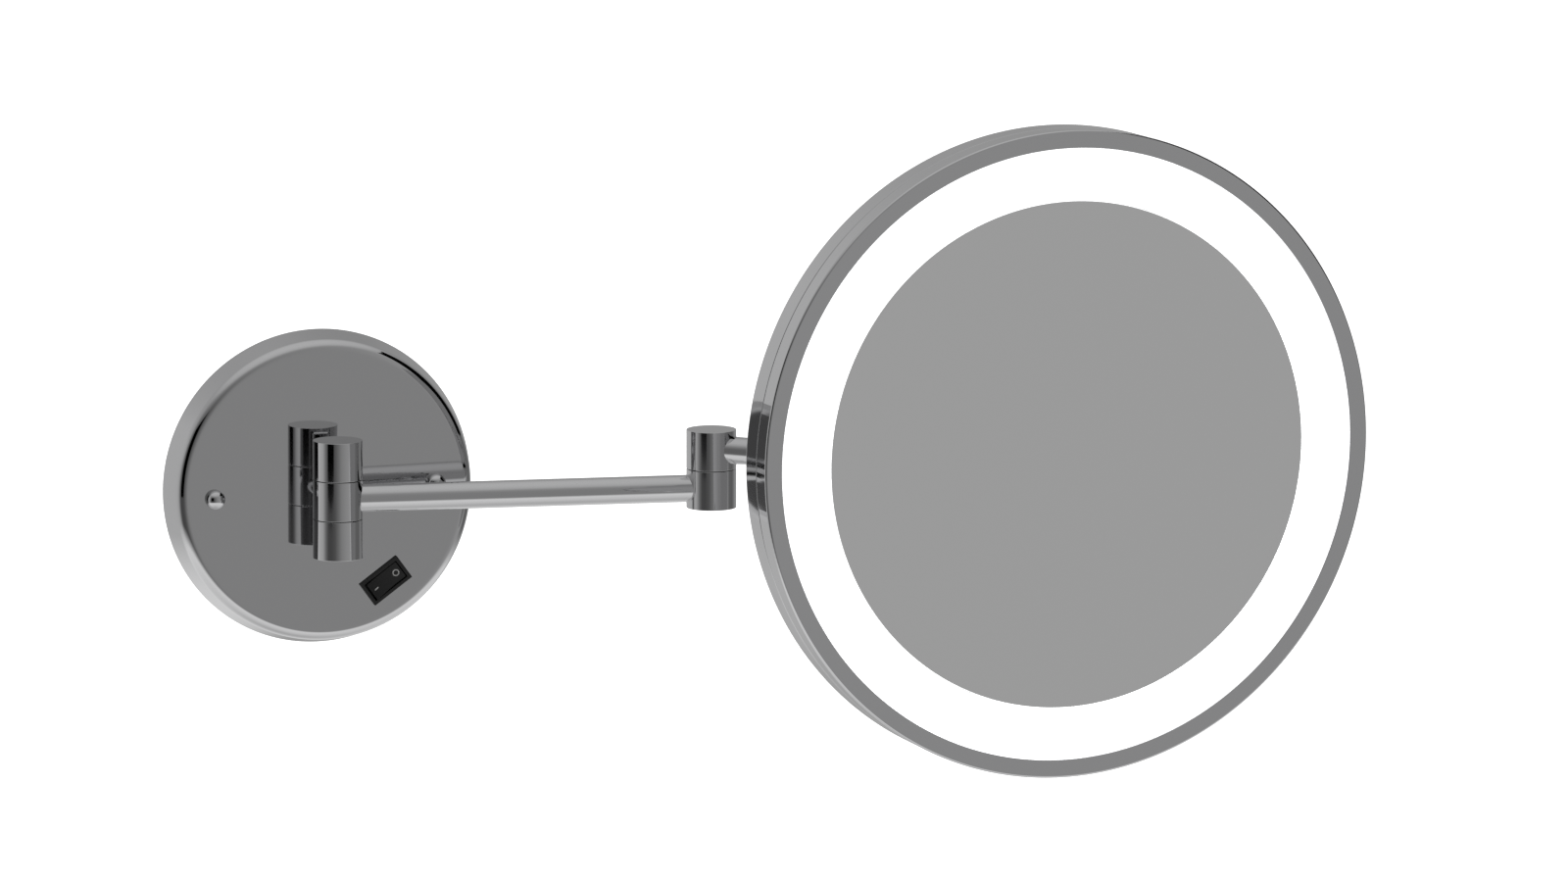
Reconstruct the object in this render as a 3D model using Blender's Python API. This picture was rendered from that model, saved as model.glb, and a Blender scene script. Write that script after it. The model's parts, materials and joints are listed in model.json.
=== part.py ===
"""Extendable shaving mirror: a round lit mirror on a double swing arm that folds out from a wall plate.

Metres, +Z up. The wall is the plane Y = 0 and the object stands out from it towards -Y, with the arms
reaching to +X. The origin is the centre of the wall bracket's back face. The pieces of the wall unit and
of the head are turned and built along a local +Z that points away from their back, and an empty for each
joint carries the pieces that move with it.
"""

from math import cos, pi, radians, sin, tan

import bmesh
import bpy
from mathutils import Matrix, Vector

MM = 0.001

# Clearances between separate pieces
GAP = 0.3 * MM
PIN_CLEARANCE = 0.2 * MM
SOCKET_CLEARANCE = 0.15 * MM
SCREW_CLEARANCE = 0.3 * MM

# Wall unit: the bracket, and the chrome plate that covers it
PLATE_RADIUS = 61.0 * MM
PLATE_HEIGHT = 14.0 * MM
PLATE_DRAFT = 13.0
PLATE_SHOULDER = 4.3 * MM
PLATE_WALL = 1.2 * MM
SEAL_WIDTH = 2.4 * MM
SEAL_HEIGHT = 2.0 * MM
BRACKET_THICKNESS = 2.5 * MM
BOSS_RADIUS = 4.0 * MM
COVER_SCREW_PITCH_RADIUS = 43.7 * MM
COVER_SCREW_LINE_TILT = 1.8
COVER_SCREW_HEAD_RADIUS = 3.7 * MM
COVER_SCREW_COLLAR = 1.2 * MM
COVER_SCREW_DOME = 3.3 * MM
COVER_SCREW_SHANK_RADIUS = 1.6 * MM
COVER_SCREW_LENGTH = 8.0 * MM
CABLE_HOLE_RADIUS = 7.0 * MM
CABLE_HOLE_PLACE = (24 * MM, 30 * MM)
WALL_SLOT_LENGTH = 10.0 * MM
WALL_SLOT_RADIUS = 2.5 * MM
WALL_SLOT_PITCH_RADIUS = 40.0 * MM
DRIVER_SIZE = (22 * MM, 34 * MM, 7.5 * MM)
DRIVER_X = -24 * MM
TERMINAL_SIZE = (20 * MM, 15 * MM, 7 * MM)
TERMINAL_PLACE = (24 * MM, 6 * MM)
TERMINAL_SCREW_RADIUS = 1.8 * MM
TERMINAL_WAYS = 3
DRIVER_EDGE = 1.0 * MM
TERMINAL_EDGE = 0.6 * MM

# Rocker switch on the plate
SWITCH_PITCH_RADIUS = 43.0 * MM
SWITCH_POLAR_ANGLE = -56.5
SWITCH_TURN = 36.0
SWITCH_FRAME = (18.4 * MM, 10.7 * MM)
SWITCH_FRAME_HEIGHT = 1.0 * MM
SWITCH_FRAME_LIP = 1.0 * MM
SWITCH_HOUSING_WALL = 0.6 * MM
SWITCH_DEPTH = 6.5 * MM
SWITCH_CAVITY_DEPTH = 4.2 * MM
ROCKER_CLEARANCE = 0.4 * MM
ROCKER_RISE = 1.3 * MM
ROCKER_DIP = 0.5 * MM
ROCKER_KEEL = 2.0 * MM
ROCKER_TILT = 6.0
ROCKER_FOOT_SHARE = 0.8
SWITCH_FRAME_EDGE = 0.3 * MM

# Hinge knuckles: each is a stack of barrels on one upright pin
BARREL_RADIUS = 9.6 * MM
BARREL_HEIGHT = 15.0 * MM
BARREL_CHAMFER = 0.3 * MM
AXIS_ABOVE_PLATE = 19.2 * MM
PIN_RADIUS = 4.0 * MM
PIN_BORE_RADIUS = 2.2 * MM
PIN_HEAD_RADIUS = 5.4 * MM
PIN_HEAD_HEIGHT = 1.4 * MM
BLIND_BORE_DEPTH = 11.0 * MM
CAP_HEIGHT = 1.2 * MM
WASHER_RADIUS = 7.2 * MM
WASHER_THICKNESS = 0.5 * MM
YOKE_WEB_WIDTH = 6.4 * MM
YOKE_WEB_OUTSIDE = 13.2 * MM
YOKE_WEB_INSET = 1.0 * MM
YOKE_WEB_BITE = 1.4 * MM
YOKE_WEB_EDGE = 0.6 * MM
YOKE_STEM_RADIUS = 4.5 * MM
YOKE_STUD_RADIUS = 3.0 * MM
YOKE_STUD_LENGTH = 6.6 * MM
YOKE_NUT_RADIUS = 5.2 * MM
YOKE_NUT_HEIGHT = 2.6 * MM
STRAP_WIDTH = 14.0 * MM
STRAP_LENGTH = 46.0 * MM
STRAP_THICKNESS = 2.0 * MM
STRAP_EDGE = 0.4 * MM

# Arms
ARM_RADIUS = 5.25 * MM
ARM_WALL = 1.2 * MM
SOCKET_BOTTOM = 6.0 * MM
INNER_ARM_LENGTH = 145.5 * MM
INNER_ARM_TURN = 4.8
OUTER_ARM_LENGTH = 128.0 * MM
OUTER_ARM_TURN = 41.5
LEAD_RADIUS = 1.6 * MM
LEAD_END_ROOM = 2.5 * MM

# Tilt joint between the last knuckle and the head
HEAD_TURN = 8.0
SWIVEL_TO_TILT = 20.0 * MM
TILT_TO_BACK = 12.0 * MM
TONGUE_WIDTH = 5.8 * MM
TONGUE_RADIUS = 6.0 * MM
TILT_WASHER_THICKNESS = 0.6 * MM
EAR_THICKNESS = 3.4 * MM
EAR_RADIUS = 6.6 * MM
CLEVIS_BASE = 2.4 * MM
CLEVIS_COPE_DEPTH = 2.0 * MM
TILT_BOLT_RADIUS = 2.5 * MM
TILT_BOLT_HEAD_RADIUS = 4.4 * MM
TILT_BOLT_HEAD_HEIGHT = 2.2 * MM
TILT_BOLT_CROWN_SHARE = 0.8
TILT_NUT_HEIGHT = 3.0 * MM
FLANGE_RADIUS = 14.0 * MM
FLANGE_THICKNESS = 2.7 * MM
FLANGE_SCREW_PITCH_RADIUS = 10.0 * MM
FLANGE_SCREWS = 4
SMALL_SCREW_RADIUS = 1.4 * MM
SMALL_SCREW_HEAD_RADIUS = 2.5 * MM
SMALL_SCREW_HEAD_HEIGHT = 1.3 * MM
SMALL_SCREW_CROWN_SHARE = 0.7

# Mirror head
HEAD_RADIUS = 125.0 * MM
HEAD_DEPTH = 22.0 * MM
HEAD_DRAFT = 2.0
SHELL_DEPTH = 12.2 * MM
SHELL_WALL = 1.8 * MM
SHELL_SHOULDER = 2.0 * MM
BEZEL_LIP = 7.0 * MM
BEZEL_LIP_THICKNESS = 1.8 * MM
BEZEL_CHAMFER = 0.8 * MM
LIGHT_RING_WIDTH = 20.0 * MM
DIFFUSER_THICKNESS = 3.0 * MM
DIFFUSER_FLANGE = 2.5 * MM
MIRROR_THICKNESS = 3.0 * MM
MIRROR_EDGE = 0.4 * MM
CUSHION_THICKNESS = 1.0 * MM
CUSHION_INSET = 6.0 * MM
PAN_WALL = 1.5 * MM
PAN_FLOOR = 5.5 * MM
PAN_RIM_ROOM = 2.0 * MM
LED_BOARD_THICKNESS = 1.2 * MM
LED_CHIP_HEIGHT = 0.7 * MM
LED_CHIPS = 24
LED_CHIP_INSET = 3.5 * MM
GASKET_WIDTH = 1.2 * MM
GASKET_HEIGHT = 5.0 * MM
STIFFENER_RADIUS = 22.0 * MM
STIFFENER_THICKNESS = 2.0 * MM
SHELL_SCREWS = 6

# Facets round each kind of turned piece
HEAD_STEPS = 60
INNER_HEAD_STEPS = 40
PLATE_STEPS = 48
BARREL_STEPS = 24
SMALL_STEPS = 16
SCREW_STEPS = 10

# How far a cutter runs past the face it cuts
THROUGH = 1.0 * MM

# Values that follow from the driving ones
WALL_AXIS_Y = -(PLATE_HEIGHT + AXIS_ABOVE_PLATE)
PITCH = BARREL_HEIGHT + GAP
MIRROR_RADIUS = HEAD_RADIUS - BEZEL_LIP - LIGHT_RING_WIDTH
WINDOW_RADIUS = HEAD_RADIUS - BEZEL_LIP
HEAD_BACK = TILT_TO_BACK
HEAD_FRONT = HEAD_BACK + HEAD_DEPTH
PLATE_INSIDE = PLATE_HEIGHT - PLATE_WALL
BRACKET_RADIUS = PLATE_RADIUS - PLATE_WALL - SEAL_WIDTH - 4 * GAP
EAR_INSIDE = TONGUE_WIDTH / 2 + TILT_WASHER_THICKNESS + 2 * GAP
EAR_OUTSIDE = EAR_INSIDE + EAR_THICKNESS
SCREW_HOLE = SMALL_SCREW_RADIUS + SCREW_CLEARANCE
FACE_OUT = Matrix.Rotation(pi / 2, 4, "X")


# --- Building tools -------------------------------------------------------------------------------

def clear_scene():
    for old in list(bpy.data.objects):
        bpy.data.objects.remove(old, do_unlink=True)


def finish_material(name, colour, roughness, metallic):
    """One Principled material: base colour as linear red, green, blue."""
    material = bpy.data.materials.new(name)
    material.use_nodes = True
    shader = material.node_tree.nodes["Principled BSDF"]
    shader.inputs["Base Color"].default_value = (*colour, 1)
    shader.inputs["Roughness"].default_value = roughness
    shader.inputs["Metallic"].default_value = metallic
    material.diffuse_color = (*colour, 1)
    return material


def place(name, mesh, material, parent, matrix=None):
    """Put a finished mesh in the scene, smooth on its round faces, under the empty it moves with."""
    mesh.shade_smooth()
    mesh.set_sharp_from_angle(angle=radians(35))
    piece = bpy.data.objects.new(name, mesh)
    bpy.context.scene.collection.objects.link(piece)
    piece.parent = parent
    if matrix is not None:
        piece.matrix_local = matrix
    if material is not None:
        mesh.materials.append(material)
    return piece


def mesh_from(bm, name):
    mesh = bpy.data.meshes.new(name)
    bmesh.ops.recalc_face_normals(bm, faces=bm.faces)
    bm.to_mesh(mesh)
    bm.free()
    return mesh


def turned(name, outline, steps):
    """Spin an outline of (radius, height) points round local Z.

    An outline that starts and ends on the axis makes a solid, and any other is closed into a ring.
    """
    bm = bmesh.new()
    points = [bm.verts.new((radius, 0, height)) for radius, height in outline]
    edges = [bm.edges.new(pair) for pair in zip(points, points[1:])]
    if outline[0][0] > 0:
        edges.append(bm.edges.new((points[-1], points[0])))
    bmesh.ops.spin(bm, geom=points + edges, cent=(0, 0, 0), axis=(0, 0, 1), angle=2 * pi, steps=steps)
    bmesh.ops.remove_doubles(bm, verts=bm.verts, dist=0.001 * MM)
    return mesh_from(bm, name)


def rod(name, radius, low, high, steps=SMALL_STEPS):
    """A plain round bar along local Z."""
    return turned(name, [(0, low), (radius, low), (radius, high), (0, high)], steps)


def ring(name, inside, outside, low, high, steps=SMALL_STEPS):
    """A plain washer or tube along local Z."""
    return turned(name, [(inside, low), (outside, low), (outside, high), (inside, high)], steps)


def block(name, low, high, bevel=0.0):
    """A box between two corners, with its edges rounded off where a bevel is given."""
    bm = bmesh.new()
    bmesh.ops.create_cube(bm, size=1)
    size = Vector(high) - Vector(low)
    bmesh.ops.scale(bm, vec=size, verts=bm.verts)
    bmesh.ops.translate(bm, vec=(Vector(high) + Vector(low)) / 2, verts=bm.verts)
    if bevel:
        bmesh.ops.bevel(bm, geom=bm.edges[:], offset=bevel, segments=2, affect="EDGES")
    return mesh_from(bm, name)


def extruded(name, outline, low, high):
    """Extrude an outline of (x, z) points along local Y."""
    bm = bmesh.new()
    face = bm.faces.new([bm.verts.new((x, low, z)) for x, z in outline])
    grown = bmesh.ops.extrude_face_region(bm, geom=[face])["geom"]
    moved = [item for item in grown if isinstance(item, bmesh.types.BMVert)]
    bmesh.ops.translate(bm, vec=(0, high - low, 0), verts=moved)
    return mesh_from(bm, name)


def arc(centre, radius, start, end, count):
    """Points on a circular arc, angles in degrees."""
    turns = [radians(start + (end - start) * i / count) for i in range(count + 1)]
    return [(centre[0] + radius * cos(a), centre[1] + radius * sin(a)) for a in turns]


def boolean(target, mesh, operation, matrix=None):
    """Cut a shape out of a piece, or join it on, with a hidden guide object."""
    guide = place(f"{target.name}_{operation.lower()}_{len(target.modifiers)}", mesh, None, target, matrix)
    guide.hide_render = True
    guide.display_type = "WIRE"
    modifier = target.modifiers.new(guide.name, "BOOLEAN")
    modifier.operation = operation
    modifier.solver = "EXACT"
    modifier.object = guide


def cut(target, mesh, matrix=None):
    boolean(target, mesh, "DIFFERENCE", matrix)


def join(target, mesh, matrix=None):
    boolean(target, mesh, "UNION", matrix)


def joint_empty(name, parent, location, turn=0.0):
    """An empty on a joint's axis, turned about the upright by an angle in degrees."""
    empty = bpy.data.objects.new(name, None)
    bpy.context.scene.collection.objects.link(empty)
    empty.empty_display_size = 20 * MM
    empty.parent = parent
    empty.location = location
    empty.rotation_euler = (0, 0, radians(turn))
    return empty


def polar(radius, degrees, height=0.0):
    return Vector((radius * cos(radians(degrees)), radius * sin(radians(degrees)), height))


# --- Frame and materials --------------------------------------------------------------------------

clear_scene()

chrome = finish_material("chrome", (0.62, 0.62, 0.64), 0.06, 1.0)
steel = finish_material("steel", (0.42, 0.42, 0.43), 0.35, 1.0)
aluminium = finish_material("aluminium", (0.60, 0.61, 0.62), 0.40, 1.0)
brass = finish_material("brass", (0.55, 0.40, 0.16), 0.35, 1.0)
black_plastic = finish_material("black_plastic", (0.012, 0.012, 0.012), 0.40, 0.0)
white_plastic = finish_material("white_plastic", (0.75, 0.75, 0.73), 0.45, 0.0)
acetal = finish_material("acetal", (0.03, 0.03, 0.03), 0.40, 0.0)
rubber = finish_material("rubber", (0.02, 0.02, 0.02), 0.80, 0.0)
opal = finish_material("opal_acrylic", (0.90, 0.90, 0.90), 0.25, 0.0)
mirror = finish_material("mirror", (0.80, 0.81, 0.81), 0.02, 1.0)
foam = finish_material("foam", (0.10, 0.10, 0.10), 0.95, 0.0)
board = finish_material("circuit_board", (0.80, 0.81, 0.78), 0.50, 0.0)

wall = joint_empty("wall_frame", None, (0, 0, 0))
wall_knuckle = joint_empty("wall_knuckle", None, (0, WALL_AXIS_Y, 0))
inner_arm = joint_empty("wall_swivel_axis", wall_knuckle, (0, 0, 0), -INNER_ARM_TURN)
outer_arm = joint_empty("elbow_axis", inner_arm, (INNER_ARM_LENGTH, 0, 0), INNER_ARM_TURN - OUTER_ARM_TURN)
swivel = joint_empty("head_swivel_axis", outer_arm, (OUTER_ARM_LENGTH, 0, 0), OUTER_ARM_TURN + HEAD_TURN)
head = joint_empty("head_tilt_axis", swivel, (0, -SWIVEL_TO_TILT, 2 * PITCH))
head.rotation_euler = (pi / 2, 0, 0)
wall.rotation_euler = (pi / 2, 0, 0)


# --- Wall unit ------------------------------------------------------------------------------------

def cover_screw_place(side):
    return polar(COVER_SCREW_PITCH_RADIUS, COVER_SCREW_LINE_TILT + (180 if side == "left" else 0))


def wall_bracket():
    """Steel disc screwed to the wall, with two tapped bosses that the cover plate is screwed to."""
    disc = rod("wall_bracket", BRACKET_RADIUS, 0, BRACKET_THICKNESS, PLATE_STEPS)
    piece = place("wall_bracket", disc, steel, wall)
    for side in ("left", "right"):
        at = Matrix.Translation(cover_screw_place(side))
        join(piece, rod("boss", BOSS_RADIUS, BRACKET_THICKNESS / 2, PLATE_INSIDE - GAP, SMALL_STEPS), at)
    for side in ("left", "right"):
        at = Matrix.Translation(cover_screw_place(side))
        hole = COVER_SCREW_SHANK_RADIUS + SCREW_CLEARANCE
        cut(piece, rod("tapping", hole, BRACKET_THICKNESS, PLATE_HEIGHT, SCREW_STEPS), at)
    entry = Matrix.Translation((*CABLE_HOLE_PLACE, 0))
    cut(piece, rod("cable_entry", CABLE_HOLE_RADIUS, -PLATE_HEIGHT, PLATE_HEIGHT, SMALL_STEPS), entry)
    half = WALL_SLOT_LENGTH / 2 - WALL_SLOT_RADIUS
    ends = arc((half, 0), WALL_SLOT_RADIUS, -90, 90, 6) + arc((-half, 0), WALL_SLOT_RADIUS, 90, 270, 6)
    for side in (-1, 1):
        at = Matrix.Translation((0, side * WALL_SLOT_PITCH_RADIUS, 0)) @ FACE_OUT
        cut(piece, extruded("wall_slot", ends, -PLATE_HEIGHT, PLATE_HEIGHT), at)


def wall_seal():
    """Rubber ring that seals the plate's rim to the wall."""
    outside = PLATE_RADIUS - PLATE_WALL - SEAL_HEIGHT * tan(radians(PLATE_DRAFT)) - GAP
    mesh = ring("wall_seal", outside - SEAL_WIDTH, outside, 0, SEAL_HEIGHT, PLATE_STEPS)
    place("wall_seal", mesh, rubber, wall)


def plate_profile(inset, low):
    """Half of the plate's outline, from its centre out over the shoulder and down the drafted side."""
    top = PLATE_HEIGHT - inset
    radius = PLATE_SHOULDER - inset
    lean = radians(PLATE_DRAFT)
    foot = PLATE_RADIUS - inset / cos(lean)
    centre_height = top - radius
    centre_radius = foot - centre_height * tan(lean) - radius / cos(lean)
    shoulder = arc((centre_radius, centre_height), radius, 90, PLATE_DRAFT, 3)
    return [(0, top), *shoulder, (foot - low * tan(lean), low)]


def wall_plate():
    """Spun and chromed cover with a drafted side, a rounded shoulder and a flat face."""
    outline = plate_profile(0, GAP) + plate_profile(PLATE_WALL, GAP)[::-1]
    piece = place("wall_plate", turned("wall_plate", outline, PLATE_STEPS), chrome, wall)
    through = (PLATE_INSIDE - THROUGH, PLATE_HEIGHT + THROUGH)
    for side in ("left", "right"):
        at = Matrix.Translation(cover_screw_place(side))
        cut(piece, rod("screw_hole", COVER_SCREW_SHANK_RADIUS + SCREW_CLEARANCE, *through, SCREW_STEPS), at)
    cut(piece, rod("stem_hole", YOKE_STEM_RADIUS + SCREW_CLEARANCE, *through, SMALL_STEPS))
    half = [size / 2 - SWITCH_FRAME_LIP + GAP for size in SWITCH_FRAME]
    hole = block("switch_hole", (-half[0], -half[1], through[0]), (half[0], half[1], through[1]))
    cut(piece, hole, switch_matrix())


def cover_screw(side):
    """Chrome screw that holds the plate to the bracket: a dome on a short straight collar."""
    low = PLATE_HEIGHT + GAP
    rim = low + COVER_SCREW_COLLAR
    count = 4
    dome = [(COVER_SCREW_HEAD_RADIUS * cos(radians(a)), rim + COVER_SCREW_DOME * sin(radians(a)))
            for a in (90 * i / count for i in range(count))]
    shank = COVER_SCREW_SHANK_RADIUS
    foot = PLATE_HEIGHT - COVER_SCREW_LENGTH
    outline = [(0, foot), (shank, foot), (shank, low), (COVER_SCREW_HEAD_RADIUS, low), *dome,
               (0, rim + COVER_SCREW_DOME)]
    name = f"cover_screw_{side}"
    at = Matrix.Translation(cover_screw_place(side))
    place(name, turned(name, outline, SMALL_STEPS), chrome, wall, at)


def led_driver():
    """Potted power supply for the light, fixed to the bracket beside the hinge strap."""
    half = [size / 2 for size in DRIVER_SIZE]
    low = BRACKET_THICKNESS + GAP
    mesh = block("led_driver", (DRIVER_X - half[0], -half[1], low),
                 (DRIVER_X + half[0], half[1], low + DRIVER_SIZE[2]), DRIVER_EDGE)
    place("led_driver", mesh, black_plastic, wall)


def terminal_block():
    """Mains connector with one screw well to each way."""
    half = [size / 2 for size in TERMINAL_SIZE]
    low = BRACKET_THICKNESS + GAP
    top = low + TERMINAL_SIZE[2]
    x, y = TERMINAL_PLACE
    mesh = block("terminal_block", (x - half[0], y - half[1], low), (x + half[0], y + half[1], top),
                 TERMINAL_EDGE)
    piece = place("terminal_block", mesh, white_plastic, wall)
    for way in range(TERMINAL_WAYS):
        across = x + TERMINAL_SIZE[0] * ((way + 0.5) / TERMINAL_WAYS - 0.5)
        well = rod("well", TERMINAL_SCREW_RADIUS, low + TERMINAL_SIZE[2] / 2, top + THROUGH, SCREW_STEPS)
        cut(piece, well, Matrix.Translation((across, y, 0)))


# --- Switch ---------------------------------------------------------------------------------------

def switch_matrix(height=0.0):
    at = polar(SWITCH_PITCH_RADIUS, SWITCH_POLAR_ANGLE, height)
    return Matrix.Translation(at) @ Matrix.Rotation(radians(SWITCH_TURN), 4, "Z")


def switch_opening():
    """Half sizes of the opening that the rocker works in."""
    return [size / 2 - SWITCH_FRAME_LIP - SWITCH_HOUSING_WALL for size in SWITCH_FRAME]


def switch_body():
    """Snap-in switch housing with a frame that rests on the plate."""
    low = PLATE_HEIGHT + GAP
    top = low + SWITCH_FRAME_HEIGHT
    half = [size / 2 for size in SWITCH_FRAME]
    frame = block("switch_body", (-half[0], -half[1], low), (half[0], half[1], top), SWITCH_FRAME_EDGE)
    piece = place("switch_body", frame, black_plastic, wall, switch_matrix())
    stem = [size - SWITCH_FRAME_LIP for size in half]
    join(piece, block("stem", (-stem[0], -stem[1], low - SWITCH_DEPTH), (stem[0], stem[1], low + GAP)))
    bay = switch_opening()
    cut(piece, block("bay", (-bay[0], -bay[1], low - SWITCH_CAVITY_DEPTH), (bay[0], bay[1], top + THROUGH)))


def switch_rocker():
    """Rocker with two raised ends, standing with one end pressed; it turns about its short axis."""
    reach, across = (size - ROCKER_CLEARANCE for size in switch_opening())
    foot = reach * ROCKER_FOOT_SHARE
    pivot = joint_empty("rocker_axis", wall, (0, 0, 0))
    pivot.matrix_local = switch_matrix(PLATE_HEIGHT + GAP)
    outline = [(-reach, ROCKER_RISE), (0, ROCKER_DIP), (reach, ROCKER_RISE), (foot, -ROCKER_KEEL / 2),
               (0, -ROCKER_KEEL), (-foot, -ROCKER_KEEL / 2)]
    rest = Matrix.Rotation(radians(ROCKER_TILT), 4, "Y")
    place("switch_rocker", extruded("switch_rocker", outline, -across, across), black_plastic, pivot, rest)


# --- Knuckles -------------------------------------------------------------------------------------

def barrel_mesh(name, level, kind):
    """One barrel of a knuckle, at a level counted in barrels from the inner arm's.

    kind is top, with a blind bore, or middle, open right through, or foot, which is open and has a seat
    for the pin's head. All but the top one have a recess for a washer in their upper face.
    """
    low = level * PITCH - BARREL_HEIGHT / 2
    high = low + BARREL_HEIGHT
    edge = BARREL_RADIUS - BARREL_CHAMFER
    bore = PIN_RADIUS + PIN_CLEARANCE
    seat = PIN_HEAD_RADIUS + PIN_CLEARANCE
    shelf = low + PIN_HEAD_HEIGHT + CAP_HEIGHT + 2 * GAP
    recess = (WASHER_RADIUS + GAP, high - WASHER_THICKNESS - GAP)
    side = [(edge, low), (BARREL_RADIUS, low + BARREL_CHAMFER),
            (BARREL_RADIUS, high - BARREL_CHAMFER), (edge, high)]
    upper = [(recess[0], high), recess, (bore, recess[1])]
    outline = {
        "top": [(0, low + BLIND_BORE_DEPTH), (bore, low + BLIND_BORE_DEPTH), (bore, low), *side, (0, high)],
        "middle": [(bore, low), *side, *upper],
        "foot": [(bore, shelf), (seat, shelf), (seat, low), *side, *upper],
    }[kind]
    return turned(name, outline, BARREL_STEPS)


def barrel(name, level, parent, kind):
    return place(name, barrel_mesh(name, level, kind), chrome, parent)


def hinge_yoke():
    """The fixed fork of the wall knuckle: two barrels, a web behind the arm's barrel and a stem.

    The web starts inside the wall of the barrels, clear of the washer's recess, and is cut back to let
    the arm's barrel turn. The stem goes through the plate and ends in a stud.
    """
    start = BARREL_RADIUS - YOKE_WEB_BITE
    half = YOKE_WEB_WIDTH / 2
    reach = PITCH + BARREL_HEIGHT / 2 - YOKE_WEB_INSET
    web = block("hinge_yoke", (-half, start, -reach), (half, YOKE_WEB_OUTSIDE, reach), YOKE_WEB_EDGE)
    piece = place("hinge_yoke", web, chrome, wall_knuckle)
    shoulder = AXIS_ABOVE_PLATE + PLATE_WALL
    end = shoulder + YOKE_STUD_LENGTH
    stem = [(0, start), (YOKE_STEM_RADIUS, start), (YOKE_STEM_RADIUS, shoulder), (YOKE_STUD_RADIUS, shoulder),
            (YOKE_STUD_RADIUS, end), (0, end)]
    join(piece, turned("stem", stem, SMALL_STEPS), Matrix.Rotation(-pi / 2, 4, "X"))
    room = BARREL_HEIGHT / 2 + GAP + BARREL_CHAMFER / 2
    cut(piece, rod("turning_room", BARREL_RADIUS + GAP, -room, room, BARREL_STEPS))
    join(piece, barrel_mesh("upper_barrel", 1, "top"))
    join(piece, barrel_mesh("lower_barrel", -1, "foot"))


def hinge_strap():
    """Steel strap behind the plate that spreads the load of the yoke's stem."""
    top = PLATE_INSIDE - GAP
    mesh = block("hinge_strap", (-STRAP_WIDTH / 2, -STRAP_LENGTH / 2, top - STRAP_THICKNESS),
                 (STRAP_WIDTH / 2, STRAP_LENGTH / 2, top), STRAP_EDGE)
    piece = place("hinge_strap", mesh, steel, wall)
    cut(piece, rod("stud_hole", YOKE_STUD_RADIUS + SCREW_CLEARANCE, 0, PLATE_HEIGHT, SMALL_STEPS))


def hexagon_nut(name, bore, radius, low, high, material, parent, matrix):
    """Six-sided nut, with its hole's radius and the radius to its corners."""
    piece = place(name, rod(name, radius, low, high, 6), material, parent, matrix)
    cut(piece, rod("bore", bore, low - THROUGH, high + THROUGH, SMALL_STEPS))


def yoke_nut():
    """Brass nut that pulls the yoke's stem up against the strap."""
    top = PLATE_INSIDE - STRAP_THICKNESS - 2 * GAP
    hexagon_nut("yoke_nut", YOKE_STUD_RADIUS + PIN_CLEARANCE, YOKE_NUT_RADIUS, top - YOKE_NUT_HEIGHT, top,
                brass, wall, Matrix.Identity(4))


def hinge_pin(name, foot_level, top_level, parent):
    """Hollow steel pin with a head at its foot; the light's lead runs up through it."""
    low = foot_level * PITCH - BARREL_HEIGHT / 2 + CAP_HEIGHT + GAP
    high = top_level * PITCH - BARREL_HEIGHT / 2 + BLIND_BORE_DEPTH - GAP
    under = low + PIN_HEAD_HEIGHT
    outline = [(PIN_BORE_RADIUS, low), (PIN_HEAD_RADIUS, low), (PIN_HEAD_RADIUS, under),
               (PIN_RADIUS, under), (PIN_RADIUS, high), (PIN_BORE_RADIUS, high)]
    place(name, turned(name, outline, SMALL_STEPS), steel, parent)


def end_cap(name, level, parent):
    """Chromed disc pressed in under a pin's head to close the foot of a knuckle."""
    low = level * PITCH - BARREL_HEIGHT / 2
    place(name, rod(name, PIN_HEAD_RADIUS, low, low + CAP_HEIGHT, SMALL_STEPS), chrome, parent)


def hinge_washer(name, level, parent):
    """Acetal washer in the recess on top of a barrel, which gives the hinge its drag."""
    high = level * PITCH + BARREL_HEIGHT / 2
    inside = PIN_RADIUS + PIN_CLEARANCE
    mesh = ring(name, inside, WASHER_RADIUS, high - WASHER_THICKNESS, high, SMALL_STEPS)
    place(name, mesh, acetal, parent)


# --- Arms -----------------------------------------------------------------------------------------

def along_x(distance=0.0, height=0.0):
    """Turn a piece built along local Z to lie along +X."""
    return Matrix.Translation((distance, 0, height)) @ Matrix.Rotation(pi / 2, 4, "Y")


def socket(piece, level, towards):
    """Bore a blind socket for an arm's end in a barrel, facing +X or -X."""
    mesh = rod("socket", ARM_RADIUS + SOCKET_CLEARANCE, SOCKET_BOTTOM, 2 * BARREL_RADIUS, BARREL_STEPS)
    cut(piece, mesh, Matrix.Rotation(0 if towards > 0 else pi, 4, "Z") @ along_x(0, level * PITCH))


def arm_tube(name, length, level, parent):
    """Straight chromed tube with both ends seated in the barrels."""
    start = SOCKET_BOTTOM + GAP
    mesh = ring(name, ARM_RADIUS - ARM_WALL, ARM_RADIUS, start, length - start, BARREL_STEPS)
    place(name, mesh, chrome, parent, along_x(0, level * PITCH))


def arm_lead(name, length, level, parent):
    """The light's twin lead, on its way through an arm."""
    start = SOCKET_BOTTOM + LEAD_END_ROOM
    place(name, rod(name, LEAD_RADIUS, start, length - start, SCREW_STEPS), black_plastic, parent,
          along_x(0, level * PITCH))


# --- Tilt joint -----------------------------------------------------------------------------------

def across_head(x=0.0):
    """Turn a piece built along local Z to lie along the tilt axis, which is the head's local X."""
    return Matrix.Translation((x, 0, 0)) @ Matrix.Rotation(pi / 2, 4, "Y")


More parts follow.
